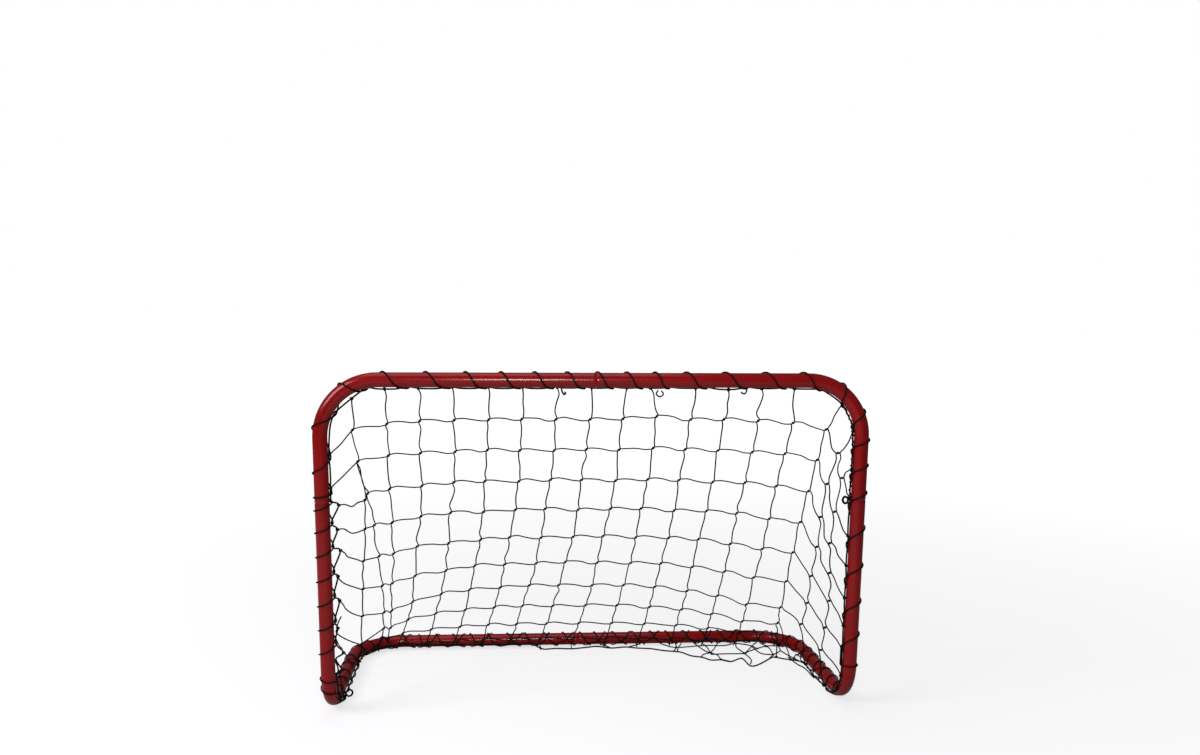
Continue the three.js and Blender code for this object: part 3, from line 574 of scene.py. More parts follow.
for kind, (first, last, corner, bend) in tube_kinds.items():
    for side, hand in hands:
        ends = [seam if seam in seams else f"{seam}_{hand}" for seam in (first, last)]
        corners = [seams[ends[0]][0], (side * x_post, *corner), seams[ends[1]][0]]
        sockets = (kind == "side" or side > 0, kind == "side")
        made = tube(f"{kind}_{hand}", corners, bend, sockets)
        for seam in ends:
            bore_out(made, seam)
        made.data.set_sharp_from_angle(angle=math.radians(35))

# %% [markdown]
# ## The snap buttons
# At each joint a domed steel button stands out of a hole through both tubes and locks them.
# It rides on its own body, so that it goes in when it is pressed. The strip behind it is bent
# to a U. One leg bears on the tube's far wall, and the other carries the button.

# %% Buttons and clips
button_proud = 2.2 * mm
dome = 1.7 * mm
button_sides, dome_rings = 40, 9
foot_middle, dome_middle = 0.2 * mm, 0.15 * mm
flange_radius, flange_height, flange_round = 4 * mm, 1 * mm, 0.2 * mm
clip_width, clip_thickness = 6 * mm, 0.6 * mm
clip_leg, clip_tail = 18 * mm, 5 * mm
bend_angles = np.linspace(math.pi / 2, -math.pi / 2, 25)
square = [(-1, -1), (1, -1), (1, 1), (-1, 1)]

for seam, (place, into, out) in seams.items():
    into, out = np.array(into, float), np.array(out, float)
    base = np.array(place) + into * button_from_seam
    tip = tube_radius + button_proud
    low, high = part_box(f"snap_button_{seam}")
    foot = min(abs((np.array(corner) - base) @ out) for corner in (low, high))
    shelf, edge = foot + flange_height, flange_radius - flange_round
    profile = [(foot, foot_middle), (foot, edge), (foot + flange_round, flange_radius)]
    profile += [(shelf - flange_round, flange_radius), (shelf, edge), (shelf, button_radius)]
    for angle in np.linspace(0, math.pi / 2, dome_rings):
        rise = dome * math.sin(angle)
        profile.append((tip - dome + rise, max(button_radius * math.cos(angle), dome_middle)))
    side = unit(np.cross(out, into))
    ring = circle(button_sides, side, np.cross(out, side))
    skein = Skein()
    skein.rings([base + out * s + ring * r for s, r in profile])
    body = f"button_{seam}"
    made = skein.piece(f"{body}_turned", steel, f"snap_{body}", body=body)
    made.data.set_sharp_from_angle(angle=math.radians(40))

    bottom, top = sorted((np.array(v) - base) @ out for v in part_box(f"spring_clip_{seam}"))
    bend = (top - bottom - clip_thickness) / 2
    strip = [(-clip_tail, math.pi / 2), *((clip_leg, angle) for angle in bend_angles)]
    skein, rings = Skein(), []
    for along, angle in [*strip, (-clip_tail, -math.pi / 2)]:
        lean = into * math.cos(angle) + out * math.sin(angle)
        spot = base + into * along + out * (top + bottom) / 2 + lean * bend
        half = lean * clip_thickness / 2, side * clip_width / 2
        rings.append([spot + half[0] * i + half[1] * j for i, j in square])
    skein.rings(rings)
    made = skein.piece(f"clip_{seam}_bent", steel, f"spring_clip_{seam}", body=None)
    made.data.set_sharp_from_angle(angle=math.radians(40))
    start, end = base + out * (bottom + clip_thickness), base + out * (top - clip_thickness)
    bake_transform(made)

# %% [markdown]
# ## The lashing and the border cord
# A cord is wound round the front tubes and passes round the net's border at each turn,
# which pulls the border to the tube. Seen from the mouth, each turn crosses the tube
# slantwise. Its turns lie unevenly, as a hand winds them, so the pixels where they reach the
# border in the photograph set their places.

# %% Where the turns lie
cord_radius = 1.4 * mm
lay_gap = 0.1 * mm
border_radius = 1.5 * mm
twine_radius = 1.25 * mm
border_near = 14.1 * mm
left_post_rows = [673, 659, 643, 621, 596, 572, 547, 523, 502, 494, 458, 412.5]
crossbar_columns = [366, 408, 450, 486.5, 520.5, 553.5, 585, 613.5]
crossbar_columns += [643, 669.5, 707, 747.5, 786.5, 820.5]
right_post_rows = [405, 426, 450, 475, 504, 543, 579, 614, 646, 672]


def inward(place, way):
    """The side of the front frame that its border cord lies on."""
    facing = np.array([0, y_front, z_low]) - place
    facing = facing - way * (facing @ way)
    facing[1] = 0
    facing = unit(facing)
    facing[1] += way[0] ** 2 * net_way[1] / -net_way[2]
    return unit(facing)


def beside(s, line, toward, reach):
    """The place at s along a line, moved to its border's side."""
    place, way = line.at(s)
    return place + toward(place, way) * reach


mouth = (front_line, inward, border_near)
post_top_row = 398
floor_border = np.array([0, y_rear - 26 * mm, 1.9 * mm])
slope = floor_border - (0, y_front, z_high)
net_length = np.linalg.norm(slope)
net_way = slope / net_length

samples = np.linspace(0, front_line.length, 1500)
shown = np.array([pixel(beside(s, front_line, inward, tube_radius)) for s in samples])
middle = front_line.length / 2
on_posts = shown[:, 1] > post_top_row
left, right = (samples < middle) & on_posts, (samples > middle) & on_posts
top = ~left & ~right
ties = [
    *np.interp(left_post_rows, shown[left, 1][::-1], samples[left][::-1]),
    *np.interp(crossbar_columns, shown[top, 0], samples[top]),
    *np.interp(right_post_rows, shown[right, 1], samples[right]),
]
assert all(a < b for a, b in zip(ties, ties[1:]))
print(len(ties), "places where the border is tied to the front frame")

# %% [markdown]
# A turn leaves the border cord, goes round the tube and comes back to the border. Across
# the line it follows the shortest way round both circles, like a belt: an arc on the tube,
# two straights and a small arc round the border. `pull` sets how far it moves along the line
# on the way out and on the way back, and `ease` how long it stays beside the border.

# %% Winding a cord
turn_steps = 36
button_clear = 7.5 * mm
run_gap = 2 * mm
post_button = z_seam - button_from_seam - z_foot
button_spots = [post_button, middle + button_from_seam, front_line.length - post_button]


def belt(angle, reach):
    """How far from a tube's middle a cord runs that is wound round tube and border."""
    big = tube_radius + lay_gap + cord_radius
    small = border_radius + lay_gap + cord_radius
    lean = math.acos((big - small) / max(reach, big))
    touch = math.atan2(small * math.sin(lean), reach + small * math.cos(lean))
    angle = abs((angle + math.pi) % (2 * math.pi) - math.pi)
    if angle > lean or reach < big:
        return big
    if angle > touch:
        return big / math.cos(lean - angle)
    return reach * math.cos(angle) + math.sqrt(small**2 - (reach * math.sin(angle)) ** 2)


def winding(ties, line, toward, reach, hand=1, pull=0.07, ease=0.11, avoid=()):
    """A cord's places, one turn from each tie to the next, that pass beside each button."""
    places = []
    t = np.arange(turn_steps) / turn_steps
    gaps = len(ties) - 1
    pulls, eases = np.broadcast_to(pull, gaps), np.broadcast_to(ease, gaps)
    for a, b, pull, ease in zip(ties, ties[1:], pulls, eases):
        angles = 2 * math.pi * (t - ease * np.sin(2 * math.pi * t))
        along = a + (b - a) * (t + pull * np.sin(math.pi * t))
        for spot in avoid:
            gap = np.interp(math.pi / 2, angles, along) - spot
            push = math.copysign(max(0, button_clear - abs(gap)), gap)
            along += push * np.maximum(0, np.sin(angles)) ** 2
        for s, angle in zip(along, angles):
            place, way = line.at(s)
            out = toward(place, way)
            across = np.cross(way, out) * hand
            radius = belt(angle, reach(s) if callable(reach) else reach)
            places.append(place + radius * (out * math.cos(angle) + across * math.sin(angle)))
    return np.array(places)


def run(start, end, line, toward, reach):
    """A cord's places where it only follows the border cord, on its far side."""
    reach += border_radius + cord_radius + lay_gap
    return np.array([beside(s, line, toward, reach) for s in np.linspace(start, end, 8)])


# The rows where the first turn on the left post and the last on the right one start.
first = np.interp(669, shown[left, 1][::-1], samples[left][::-1])
last = np.interp(664, shown[right, 1], samples[right])
turns = np.array([first, *ties[2:-1]])
post_ends = ties[len(left_post_rows) - 1], ties[-len(right_post_rows)]
on_crossbar = (turns[:-1] > post_ends[0]) & (turns[1:] < post_ends[1])
pulls, eases = 0.07 * (1 - on_crossbar), 0.11 - 0.06 * on_crossbar
wound = [
    run(0, first - run_gap, *mouth),
    winding(turns, *mouth, 1, pulls, eases, button_spots),
    run(turns[-1] + run_gap, last - run_gap, *mouth),
    winding([last, front_line.length], *mouth),
]
lashing = Skein()
lashing.cord(np.concatenate(wound), cord_radius)
packed_lashings = ["lashing_post_left", "lashing_crossbar", "lashing_post_right"]
lashing.piece("lashing_front_wound", lashing_finish, *packed_lashings)

# %% [markdown]
# The floor tubes are wound at nearly even gaps, with two more turns at the left foot. On the
# legs and the rear bar a second, thinner cord crosses the first.

# %% Lashings on the floor tubes
leg_border_reach = 15.4 * mm
leg_dip = math.radians(25)
leg_bend = foot_bend * math.pi / 2


def leg_side(side):
    """Where the border cord lies beside a leg: on its inner side, and below its middle."""

    def toward(place, way):
        dip = leg_dip * min(1, max(0, way[1]))
        below = np.array([0, way[2], -way[1]])
        return np.array([-side * math.cos(dip), 0, 0]) + below * math.sin(dip)

    return toward


def bar_side(place, way):
    """The lower front of the rear bar, and the inner side of its corners."""
    facing = np.array([0, y_front, 0]) - place
    facing = facing - way * (facing @ way)
    facing[2] = 0
    return unit(unit(facing) + (0, 0, -0.3))


def spread(start, end, gap, unevenness):
    """Places from start to end about a gap apart, as uneven as a hand leaves them."""
    count = round((end - start) / gap)
    places = np.linspace(start, end, count + 1)
    places[1:-1] += chance.normal(0, unevenness * gap, count - 1)
    return places


foot_turns, first_turn, last_gap = [0, 15 * mm, 38 * mm], 66 * mm, 6 * mm
floor_cord, leg_thin_cord, bar_thin_cord = 1.2 * mm, 0.8 * mm, 1 * mm
for (side, name), gap in zip(hands, (44 * mm, 42 * mm)):
    line = leg_lines[side]
    path = (line, leg_side(side), leg_border_reach)
    turns = spread(first_turn, line.length, gap, 0.08)
    cord = [run(foot_turns[-1] + run_gap, turns[0] - run_gap, *path)]
    cord.append(winding(turns, *path, side, 0.05))
    if side < 0:
        cord.insert(0, winding(foot_turns, *path, side, 0.05))
    skein = Skein()
    skein.cord(np.concatenate(cord), floor_cord)
    crossing = spread(leg_bend, line.length - last_gap, gap * 2, 0.1)
    skein.cord(winding(crossing, *path, -side, 0.02), leg_thin_cord)
    skein.piece(f"lashing_leg_{name}_wound", lashing_finish, f"lashing_leg_{name}")

bar_places = np.linspace(0, rear_line.length, 400)
bar_columns = [pixel(beside(s, rear_line, bar_side, tube_radius))[0] for s in bar_places]
border_off_bar = np.interp(531, bar_columns, bar_places)


def bar_reach(s):
    """Where the border has left the rear bar, the lashing goes round the bar only."""
    return leg_border_reach if s < border_off_bar else 0


rear = Skein()
bar_cords = [(1, 8 * mm, 38 * mm, floor_cord), (-1, 20 * mm, 58 * mm, bar_thin_cord)]
for way, inset, gap, thickness in bar_cords:
    turns = spread(inset, rear_line.length - inset, gap, 0.12)
    rear.cord(winding(turns, rear_line, bar_side, bar_reach, way, 0), thickness)
rear.piece("lashing_rear_wound", lashing_finish, "lashing_rear")

# %% [markdown]
# The border cord is drawn to the tube at each tie. On the left post the net's rows pull it
# away again just below each tie, which gives a row of small hooks. They were read off the
# photograph in the plane of the mouth.

# %% The border cord round the mouth


def in_mouth(pixels):
    """The place in the plane of the mouth that shows at a pixel."""
    return seen_at(pixels, 1, y_front)


hook_pixels = [(342, 670), (343.6, 652.6), (337.8, 628), (339.6, 600.5), (338, 576.3)]
hook_pixels += [(340.5, 550.5), (337.5, 529.5), (338.7, 505)]
hooks = [in_mouth(p) for p in hook_pixels]
corner_left = in_mouth((351.5, 398.5))
columns_start = len(left_post_rows)
columns_end = columns_start + len(crossbar_columns) - 1
crossbar_sag, post_sag, sag_share = 4 * mm, 1.2 * mm, 0.055

route = []
for i, (tie, following) in enumerate(zip(ties, ties[1:])):
    route.append(beside(tie, *mouth))
    if i < len(hooks):
        route.append(hooks[i])
    elif i == columns_start - 1:
        route += [in_mouth((339, 408.8)), corner_left]
    else:
        gap = following - tie
        most = crossbar_sag if columns_start <= i < columns_end else post_sag
        hang = border_near + chance.uniform(0.5, 1.1) * min(most, gap * sag_share)
        route += [beside(tie + gap * share, front_line, inward, hang) for share in (0.3, 0.7)]
route.append(beside(front_line.length, *mouth))
border = Skein()
border_front = curve(route, 5)
border.cord(border_front, border_radius)

# On the right bend and post a thinner cord is wound round the border.
cover_radius, cover_off = 0.7 * mm, 0.5 * mm
cover_x, cover_z = 430 * mm, 370 * mm
cover_steps, cover_pace = 9, 1.9
covered = border_front[(border_front[:, 0] > cover_x) & (border_front[:, 2] > cover_z)]
_, side, up = frames(covered)
places = np.linspace(0, len(covered) - 1, cover_steps * len(covered))
walk = np.stack([np.interp(places, range(len(covered)), covered[:, i]) for i in range(3)], axis=1)
angles = places * cover_pace + 0.5 * np.sin(places / 5)
for way, wave in ((side, np.cos(angles)), (up, np.sin(angles))):
    walk += way[places.astype(int)] * wave[:, None] * (border_radius + cover_off)
border.cord(walk, cover_radius, 5)
border.piece("border_cord_front_laid", border_finish, "border_cord_front")

# %% [markdown]
# On the floor the border lies beside the left leg and before the rear bar. From the bar's
# middle on it has come off the bar and wanders over the floor to the right leg.

# %% The border cord on the floor
leg_border_x = x_post - leg_border_reach * math.cos(leg_dip)
leg_border_z = z_low - leg_border_reach * math.sin(leg_dip)
floor_y, floor_z = floor_border[1], floor_border[2]


def leg_border(side, s):
    """The border beside a leg: close at the post, and further off as the leg turns level."""
    reach = border_near + (leg_border_reach - border_near) * min(1, 2 * s / leg_bend)
    return beside(s, leg_lines[side], leg_side(side), reach)


def corner_border(side, share):
    """The border in a rear corner, from the leg (0) to the rear bar (1)."""
    angle = share * math.pi / 2
    x = x_bend + (leg_border_x - x_bend) * math.cos(angle)
    y = y_bend + (y_rear - leg_border_reach * 0.96 - y_bend) * math.sin(angle)
    return np.array([side * x, y, leg_border_z + (4 * mm * share if side < 0 else 0)])


def within_bar(place):
    """A place on the floor, moved inside the floor tubes' middle line, and low beneath them."""
    middle = np.array([min(x_bend, max(-x_bend, place[0])), min(place[1], y_bend)])
    offset = place[:2] - middle
    far = np.linalg.norm(offset)
    if far < corner_bend - 10 * mm:
        return place
    inside = middle + offset * min(1, corner_bend / far)
    return np.array([*inside, min(place[2], 1.3 * mm)])


loose = [(543, 649), (556, 648.4), (572, 648.7), (586, 647.4), (597, 646.4), (611, 648)]
loose += [(625, 647), (637, 648), (651, 648.7), (664, 650.6), (680, 652), (691, 655.7)]
loose += [(702, 657.2), (711, 660), (721, 659.8), (731, 661.5), (741.6, 658.3), (749, 665)]
loose += [(754, 666), (761, 663.4), (768, 659.5), (773.5, 657), (781, 658.3), (789, 659.5)]
loose += [(798, 660.8), (804, 663.4), (808, 667.2), (813, 675)]

route = [leg_border(-1, s) for s in np.linspace(0.5 * mm, leg_lines[-1].length, 22)]
route += [corner_border(-1, share) for share in np.linspace(0, 1, 7)[1:]]
rear_bend = corner_bend * math.pi / 2
for i, s in enumerate(np.linspace(rear_bend, border_off_bar, 15)):
    route.append(beside(s, rear_line, bar_side, leg_border_reach + 1.5 * mm * (i % 2)))
route += [within_bar(seen_at(p, 2, floor_z)) for p in loose]
route += [leg_border(1, s) for s in np.linspace(leg_bend * 1.15, 0.5 * mm, 9)]
border = Skein()
border_floor = curve(route, 5)
border.cord(border_floor, border_radius)
border.piece("border_cord_floor_laid", border_finish, "border_cord_floor")
print("left leg's border meets the corner at", pixel(corner_border(-1, 0)).round(1))

# %% [markdown]
# ## The net
# The net is knotted by hand: at each crossing the twine of the row makes a small slanting
# knot round the twine of the column. So a crossing is not a point but a short bar. The
# column comes down to its upper right end and leaves from its lower left end, and the row
# comes from the left to its lower left end and leaves from its upper right end. Each piece
# of twine between two knots is bowed a little, in its own way.

# %% Twine, knots and hitches
knot_half = 2.5 * mm
coil_turns, coil_steps = 2, 20
hitch_length, knot_length = 3.4 * mm, 3 * mm
slope_normal = unit(np.cross((1, 0, 0), net_way))


class Net(Skein):
    """A skein of twine, with what ties it."""

    def hang(self, a, b, bow=None, curl=None):
        """Twine from a to b, bowed in the net's slope, with a slower or faster start."""
        span = np.linalg.norm(b - a)
        bow = chance.normal(0, 0.015) * span if bow is None else bow
        curl = chance.normal(0.02, 0.015) * span if curl is None else curl
        side = unit(np.cross(b - a, slope_normal))
        points = [a]
        for share, stray in zip((0.22, 0.5, 0.78), chance.normal(0, 0.012, 3) * span):
            s_bend = math.sin(2 * math.pi * share) * curl
            lift = bow * math.sin(math.pi * share) + s_bend + stray
            points.append(a + (b - a) * share + side * lift)
        self.cord(curve([*points, b], 5), twine_radius, 6)

    def coil(self, centre, axis, radius, length, thickness):
        """Turns of twine round an axis, for a knot or a hitch."""
        axis = unit(axis)
        _, side, up = frames(np.array([centre, centre + axis * mm]))
        t = np.linspace(0, 1, coil_steps)[:, None]
        angle = t * coil_turns * 2 * math.pi + chance.uniform(0, 6)
        ring = side[0] * np.cos(angle) + up[0] * np.sin(angle)
        self.cord(centre + axis * (t - 0.5) * length + ring * radius, thickness, 6)

    def hitch(self, place, axis):
        """A loop of twine round the border cord."""
        thickness = 0.8 * twine_radius
        self.coil(place, axis, border_radius + thickness, hitch_length, thickness)


class Knot:
    """A crossing of the net: a short bar with a coil round its middle."""

    def __init__(self, centre, half):
        self.low, self.high = centre - half, centre + half
        self.centre, self.half = centre, half

    def tie(self, net):
        net.cord([self.low, self.centre, self.high], 1.15 * twine_radius, 6)
        net.coil(self.centre, self.half, 1.25 * twine_radius, knot_length, 0.85 * twine_radius)


def nearest(route, place):
    """The point of a cord's route that lies nearest to a place."""
    return route[np.argmin(np.linalg.norm(route - place, axis=1))]


# %% [markdown]
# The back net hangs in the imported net's plane: even columns under the crossbar that lean to
# the left further down, and rows that sag toward the corners, most of all near the floor.

# %% The back net's knots
mesh_pitch = 58.5 * mm
column_shift = -6 * mm
row_shares = [0.128, 0.231, 0.338, 0.446, 0.554, 0.659, 0.755, 0.845, 0.927, 1.0]
row_sags = np.array([3, 10, 22, 38, 58, 82, 108, 94, 64, 30]) * mm
x_corner = 422 * mm
wander_most, lean_left, corner_push, corner_drop = 2 * mm, 80 * mm, 18 * mm, 24 * mm
corner_inset, left_inset = 11 * mm, 15 * mm


def wander(share, x, phase):
    wave = x / mesh_pitch * 2.1 + share * 9 * 1.7 + phase
    return wander_most * math.sin(wave) * math.sin(math.pi * min(share, 0.98))


def back_place(x, share):
    """A knot's place on the net's slope, for a strand that starts at x on the crossbar."""
    aside = x / x_corner
    lean = min(1, max(0, min((aside + 1) / 0.25, 0.95 - aside)))
    moved = x - lean_left * lean * share**2.2 + corner_push * max(0, aside) ** 3 * (1 - share)
    depth = share * net_length + corner_drop * aside**6 * (1 - share) - (2 + 30 * share) * mm
    sag = np.interp(share, row_shares, row_sags)
    if abs(x) < x_corner:
        moved += wander(share, x, 0)
        depth += wander(share, x, 1) + sag * abs(aside) ** 2.8
    else:
        inset = corner_inset * math.sin(math.pi * min(share, 0.999)) ** 0.7
        if x < 0:
            low = min(1, max(0, (share - 0.24) / 0.76))
            inset += left_inset * math.sin(math.pi * low) ** 0.6
        moved = math.copysign(x_corner - inset, x)
        depth += sag * 0.62
    return np.array([moved, y_front, z_high]) + net_way * depth


columns = [i * mesh_pitch + column_shift for i in range(-6, 7)]
columns = [x for x in columns if abs(x) < x_bend]
lines = [-x_corner, *columns, x_corner]
rising = unit(np.array([1, 0, 0]) - net_way)
raised = {(0, 9): 7 * mm, (1, 9): 5 * mm}
knots = {}
for row, share in enumerate(row_shares):
    for column, x in enumerate(lines):
        place = back_place(x, share) - net_way * raised.get((row, column), 0)
        knots[row, column] = Knot(place, rising * 1.4 * knot_half)

# %% [markdown]
# The side nets' knots were read off the photograph, and their depths follow from where the
# rows start at the corner strand and where they end at the post. On the right the rows fall
# steeply to the post, since that side was laced two meshes lower.

# %% The side nets' knots
last = len(lines) - 1
# Each row on the right: its knots by the corner and by the post, and its end on the border.
right_rows = [
    ((838, 453), (842, 478), (844.3, 497.3)),
    ((827, 484), (834.5, 511.8), (846.5, 536.6)),
    ((820.5, 517), (829.8, 543.2), (843.5, 566)),
    ((816.8, 546.8), (829.3, 573), (842, 596.8)),
    ((811, 576), (829, 600.8), (841, 626.7)),
    ((807, 603), (825, 627.5), (841, 650.6)),
    ((801, 624), (820.7, 650), (838, 676)),
]
left_near = [(365, 500), (365, 529), (363.5, 561), (363, 589), (362.5, 616), (361.5, 644)]
left_ends = [(333, 456), (333, 489)]
left_kinks = {2: [(345, 504.5), (352, 506.5), (357.5, 502.8)], 3: [(344, 529), (352.7, 533.3)]}


def in_row(pixels, row, corner, share):
    """A side knot's place: its pixel, and its depth a share of the way to the post."""
    depth = knots[row, corner].centre[1]
    return seen_at(pixels, 1, depth + (y_front - depth) * share)


level = np.array([1, -0.25, 0.25]) * 1.3 * knot_half
for row, (near, far, _) in enumerate(right_rows):
    knots[row, last + 1] = Knot(in_row(near, row, last, 0.36), level)
    knots[row, last + 2] = Knot(in_row(far, row, last, 0.68), level)
for row, near in enumerate(left_near, start=2):
    knots[row, -1] = Knot(in_row(near, row, 0, 0.25), rising * knot_half)
print(len(knots), "knots in the net")

# %% [markdown]
# Now the twine goes from knot to knot. Rows run from a knot's upper end to the next one's
# lower end, and columns from a lower end down to an upper end. Where a strand meets a cord
# of the border it ends in a hitch.

# %% Twine of the back net
back = Net()
hem, border_leaves_x = 2.4 * mm, -60 * mm
last_row = len(row_shares) - 1
for (row, column), knot in knots.items():
    if 0 <= column < last:
        knot.tie(back)
        back.hang(knot.high, knots[row, column + 1].low, 0.02 * mesh_pitch, 0.03 * mesh_pitch)
        if row < last_row:
            back.hang(knot.low, knots[row + 1, column].high)
for column, x in enumerate(lines[1:-1], start=1):
    aside = -15 * mm if column == 9 else 0
    top = nearest(border_front, np.array([x + aside, y_front, z_high - border_near]))
    back.hitch(top, (1, 0, 0))
    back.hang(top, knots[0, column].high)
    start = knots[last_row, column].low
    end = start + net_way * (start[2] - floor_z - hem) / -net_way[2]
    end[1] = min(end[1], floor_y)
    if abs(end[0]) > x_bend - 4 * mm:
        share = math.acos(min(1, (abs(end[0]) - x_bend) / (leg_border_x - x_bend))) / math.pi * 2
        end = corner_border(math.copysign(1, end[0]), min(1, max(0, share)))
    elif end[0] < border_leaves_x:
        end = nearest(border_floor, end)
        back.hitch(end, (1, 0, 0))
    back.hang(start, end)
# The left corner strand belongs to the back net, and the right one to the side net.
back.hang(corner_left, knots[0, 0].high, 1 * mm, 0)
back.hitch(corner_left, (1, 0, 1))
left_foot = corner_border(-1, 0.5)
back.hang(knots[last_row, 0].low, left_foot)
back.hitch(left_foot, (1, 1, 0))
back.piece("net_back_knotted", twine_finish, "net_back")

# %% [markdown]
# The side nets hang between the corner strands and the posts, and end on the floor at the
# border beside each leg.

# %% Twine of the side nets
net = Net()
foot_row = 664


def end_at(net, pixels):
    """The border's place nearest to a pixel in the plane of the mouth, with a hitch on it."""
    route = border_front if pixels[1] < foot_row else border_floor
    place = nearest(route, in_mouth(pixels))
    net.hitch(place, (0, 0, 1))
    return place


def to_leg(side, y):
    """The border's place beside a leg at this y."""
    route = border_floor[border_floor[:, 0] * side > leg_border_x * 0.9]
    return route[np.argmin(abs(route[:, 1] - y * mm))]


def end_on_leg(net, start, side, y, *shape):
    """Twine from start down to the border beside a leg, with a hitch on it."""
    end = to_leg(side, y)
    net.hitch(end, (0, 1, 0))
    net.hang(start, end, *shape)


corner_right = nearest(border_front, in_mouth((841, 405)))
net.hitch(corner_right, (1, 0, -1))
net.hang(corner_right, knots[0, last].high, 0, 0)
for row in range(last_row + 1):
    knot = knots[row, last]
    knot.tie(net)
    if row < last_row:
        net.hang(knot.low, knots[row + 1, last].high, 0, 0)
for row, (*_, pixels) in enumerate(right_rows):
    near, far = knots[row, last + 1], knots[row, last + 2]
    near.tie(net)
    far.tie(net)
    net.hang(knots[row, last].high, near.low, -3 * mm, 2 * mm)
    net.hang(near.high, far.low, -3 * mm, 2 * mm)
    net.hang(far.high, end_at(net, pixels), -2 * mm, 1 * mm)
    if row + 1 < len(right_rows):
        net.hang(near.low, knots[row + 1, last + 1].high, 1 * mm, 2 * mm)
        net.hang(far.low, knots[row + 1, last + 2].high, 1 * mm, 2 * mm)
net.hang(knots[0, last + 1].high, end_at(net, (851, 432)), -4 * mm, 0)
net.hang(knots[0, last + 2].high, end_at(net, (848, 469)), 4 * mm, 0)
ends = [(knots[6, last + 1].low, 40), (knots[6, last + 2].low, -90)]
ends += [(knots[7, last].high, 70), (knots[8, last].high, 110)]
for start, y in ends:
    end_on_leg(net, start, 1, y)
right_foot = corner_border(1, 0.5)
net.hang(knots[last_row, last].low, right_foot)
net.hitch(right_foot, (1, -1, 0))
net.piece("net_side_right_knotted", twine_finish, "net_side_right")

net = Net()
starts = [end_at(net, p) for p in left_ends] + hooks[::-1]
for row, start in enumerate(starts):
    if row >= 2:
        net.hitch(start, (0, 0, 1))
    goal = knots.get((row, -1))
    if goal:
        goal.tie(net)
        sag = -0.05 * np.linalg.norm(goal.low - start)
        if row in left_kinks:
            kinks = [in_row(p, row, 0, 0.8) for p in left_kinks[row]]
            net.cord(curve([start, *kinks, goal.low], 5), twine_radius, 6)
        else:
            net.hang(start, goal.low, sag, 0)
        net.hang(goal.high, knots[row, 0].low, 1 * mm, 0)
        if (row + 1, -1) in knots:
            net.hang(goal.low, knots[row + 1, -1].high)
    elif row < 2:
        net.hang(start, knots[row, 0].low, -2 * mm, 0)
    else:
        end_on_leg(net, start, -1, 60 if row == 8 else -110, -4 * mm, 0)
net.hang(knots[1, 0].low, knots[2, -1].high, 2 * mm, 0)
net.hang(knots[7, -1].low, to_leg(-1, 70))
net.hang(knots[8, 0].low, to_leg(-1, 100))
net.piece("net_side_left_knotted", twine_finish, "net_side_left")

# %% [markdown]
# The net's loose end lies on the floor behind the border, with its meshes pushed together.
# It was laid along the strands that the photograph shows.

# %% The loose end of the net
skirt = Net()
laid = [
    [(662, 644.2), (676, 647.4), (704, 645.5), (724, 645.5), (735, 643), (750, 645.5), (758, 649)],
    [(711, 654.4), (724, 653.8), (744, 653.4), (749, 651.2), (766, 646.1), (782, 645.5)],
    [(675, 642), (676.5, 647.4), (673, 651.5)],
    [(681, 642), (678.5, 647.4), (677, 652)],
    [(693, 641), (704.6, 650.6), (710, 652.5)],
    [(701, 641), (707, 647.4), (710.4, 652.5)],
    [(717, 641), (713.6, 649.3), (710.4, 652.5)],
    [(711, 653), (717.4, 655), (721, 659), (731, 661.5)],
    [(711, 652.5), (703.4, 654.4), (700.8, 657.5)],
    [(735, 641), (736.5, 647.4), (744.8, 653.4)],
    [(756, 638), (753, 645), (744.8, 653.4)],
    [(744.8, 653.4), (751, 659.5), (750.6, 664)],
    [(760.8, 638), (766, 646), (769.7, 648.7), (773, 654.4)],
    [(750.5, 645.5), (760.8, 653.2), (773, 654.6)],
    [(783, 642), (780, 650.6), (773, 655), (768.4, 659.5)],
    [(780.5, 650.6), (788.8, 655.7), (794, 658.3), (799, 660.8)],
    [(794, 658.3), (795, 655.7), (803, 653)],
    [(788, 657), (797, 664), (805, 668.5), (814, 678)],
    [(600, 643), (606, 646), (611, 648)],
    [(640, 643), (634, 645.5), (628, 647)],
]
for strand_pixels in laid:
    strand = [seen_at(p, 2, floor_z + chance.uniform(-0.4, 1.6) * mm) for p in strand_pixels]
    skirt.cord(curve([within_bar(place) for place in strand], 6), twine_radius, 6)
for p in [(676, 647.4), (710.6, 652.6), (744.8, 653.4), (773, 654.6), (766, 646.1), (794, 658.3)]:
    Knot(seen_at(p, 2, floor_z + 1.6 * mm), np.array([1, 0.4, 0.2]) * knot_half).tie(skirt)
skirt.piece("net_skirt_laid", twine_finish, "net_skirt")

# %% [markdown]
# Small things that a hand leaves: a loop of the lashing at the left foot, a ring where its
# cord was joined on the right, and cut ends on the left post and under the crossbar.

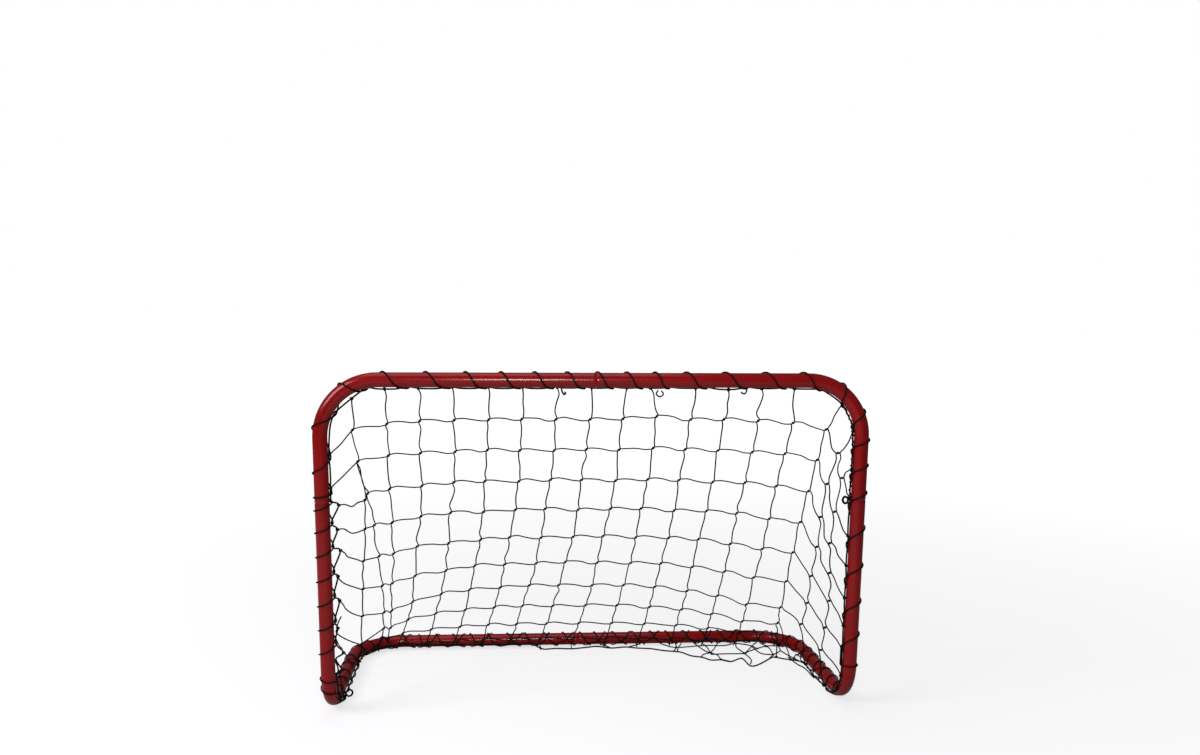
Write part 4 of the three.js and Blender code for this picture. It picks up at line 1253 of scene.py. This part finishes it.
# %% Loose ends
ends_cut = Skein()
ring_depth, foot_depth = y_front - 1 * mm, leg_border(-1, 131 * mm)[1]
ring = [(847.5, 497.5), (844.6, 496.8), (842.7, 499.6), (844.2, 503), (847.4, 502.4)]
ring += [(848, 498.6)]
loop = [(345.8, 692), (349, 689.6), (352.4, 691.2), (351.6, 695), (348, 696), (345.8, 693.6)]
ends = [
    (y_front, 1.2 * mm, [(336.8, 626.5), (338.5, 622), (341.2, 616.6)]),
    (y_front, 1 * mm, [(337, 641.5), (339.5, 646), (342.5, 648.6)]),
    (y_front, 1.5 * mm, [(561.5, 389), (562.3, 392), (563.8, 394.4), (565.6, 393.6), (564.6, 392)]),
    (y_front, 1.3 * mm, [(658, 390.5), (656.3, 394), (659.8, 396.8), (663.4, 394.2), (661.5, 391)]),
    (y_front, 1.4 * mm, [(746.8, 388.5), (746.4, 391.5), (744.6, 393.8), (742, 393), (741.4, 392)]),
    (ring_depth, 2.1 * mm, ring),
    (foot_depth, 1.8 * mm, loop),
]
for depth, thickness, pixels in ends:
    ends_cut.cord(curve([seen_at(p, 1, depth) for p in pixels], 5), thickness, 8)
ends_cut.piece("cord_ends", lashing_finish)

# %% [markdown]
# ## Floor and light
# A pale, plain floor and a soft, even light, as in a small studio. The backdrop is white
# only where the camera looks at it.

# %% Floor and light
floor_half = 40
floor_mesh = bpy.data.meshes.new("studio_floor")
corners = [(x * floor_half, y * floor_half, 0) for x, y in square]
floor_mesh.from_pydata(corners, [], [(0, 1, 2, 3)])
floor = placed("studio_floor", floor_mesh)


def pale_floor():
    """Near white, and for the camera it brightens with distance, as a lit backdrop does."""
    finish = Finish("studio_floor", Roughness=0.85, Specular_IOR_Level=0.1, Emission_Strength=1)
    finish.shader.inputs["Base Color"].default_value = (0.5, 0.5, 0.5, 1)
    seen = finish.node("LightPath", out="Is Camera Ray")
    place = finish.node("TexCoord", out="Object")
    far = finish.node("VectorMath", {0: place}, "Value", operation="LENGTH")
    glow = finish.ramp(far * 0.1, (0.05, (0.7, 0.7, 0.7, 1)), (0.35, (1, 1, 1, 1)))
    finish.feed("Emission Color", finish.mix(seen, (0, 0, 0, 1), glow))
    return finish


floor_mesh.materials.append(pale_floor().material)

world = bpy.data.worlds.new("studio")
world.use_nodes = True
bpy.context.scene.world = world
tree = world.node_tree
tree.nodes.clear()
kinds = ["OutputWorld", "MixShader", "LightPath", "Background", "Background"]
output, mix, path, shown_sky, lit_sky = (tree.nodes.new(f"ShaderNode{kind}") for kind in kinds)
shown_sky.inputs["Color"].default_value = (1, 1, 1, 1)
lit_sky.inputs["Color"].default_value = (0.92, 0.95, 1, 1)
lit_sky.inputs["Strength"].default_value = 0.1
tree.links.new(path.outputs["Is Camera Ray"], mix.inputs[0])
tree.links.new(lit_sky.outputs[0], mix.inputs[1])
tree.links.new(shown_sky.outputs[0], mix.inputs[2])
tree.links.new(mix.outputs[0], output.inputs[0])


def lamp(name, place, target, size, power, colour=(1, 1, 1)):
    data = bpy.data.lights.new(name, "AREA")
    data.shape = "RECTANGLE"
    data.size, data.size_y = size
    data.energy, data.color = power, colour
    made = placed(name, data)
    made.location = place
    aim = Vector(target) - Vector(place)
    made.rotation_euler = aim.to_track_quat("-Z", "Y").to_euler()


lamp("key", (-2.5, -1.5, 2.2), (0, 0, 0.35), (1.6, 1.6), 52, (0.96, 0.9, 1))
lamp("near_camera", (-0.1, -1.95, 0.85), (-0.1, 0, 0.5), (0.3, 0.5), 9)
lamp("top", (-0.4, 0, 3.2), (0, 0, 0), (2.5, 2), 15)

scene = bpy.context.scene
scene.render.resolution_x, scene.render.resolution_y = photo_width, photo_height
scene.view_settings.view_transform = "Standard"
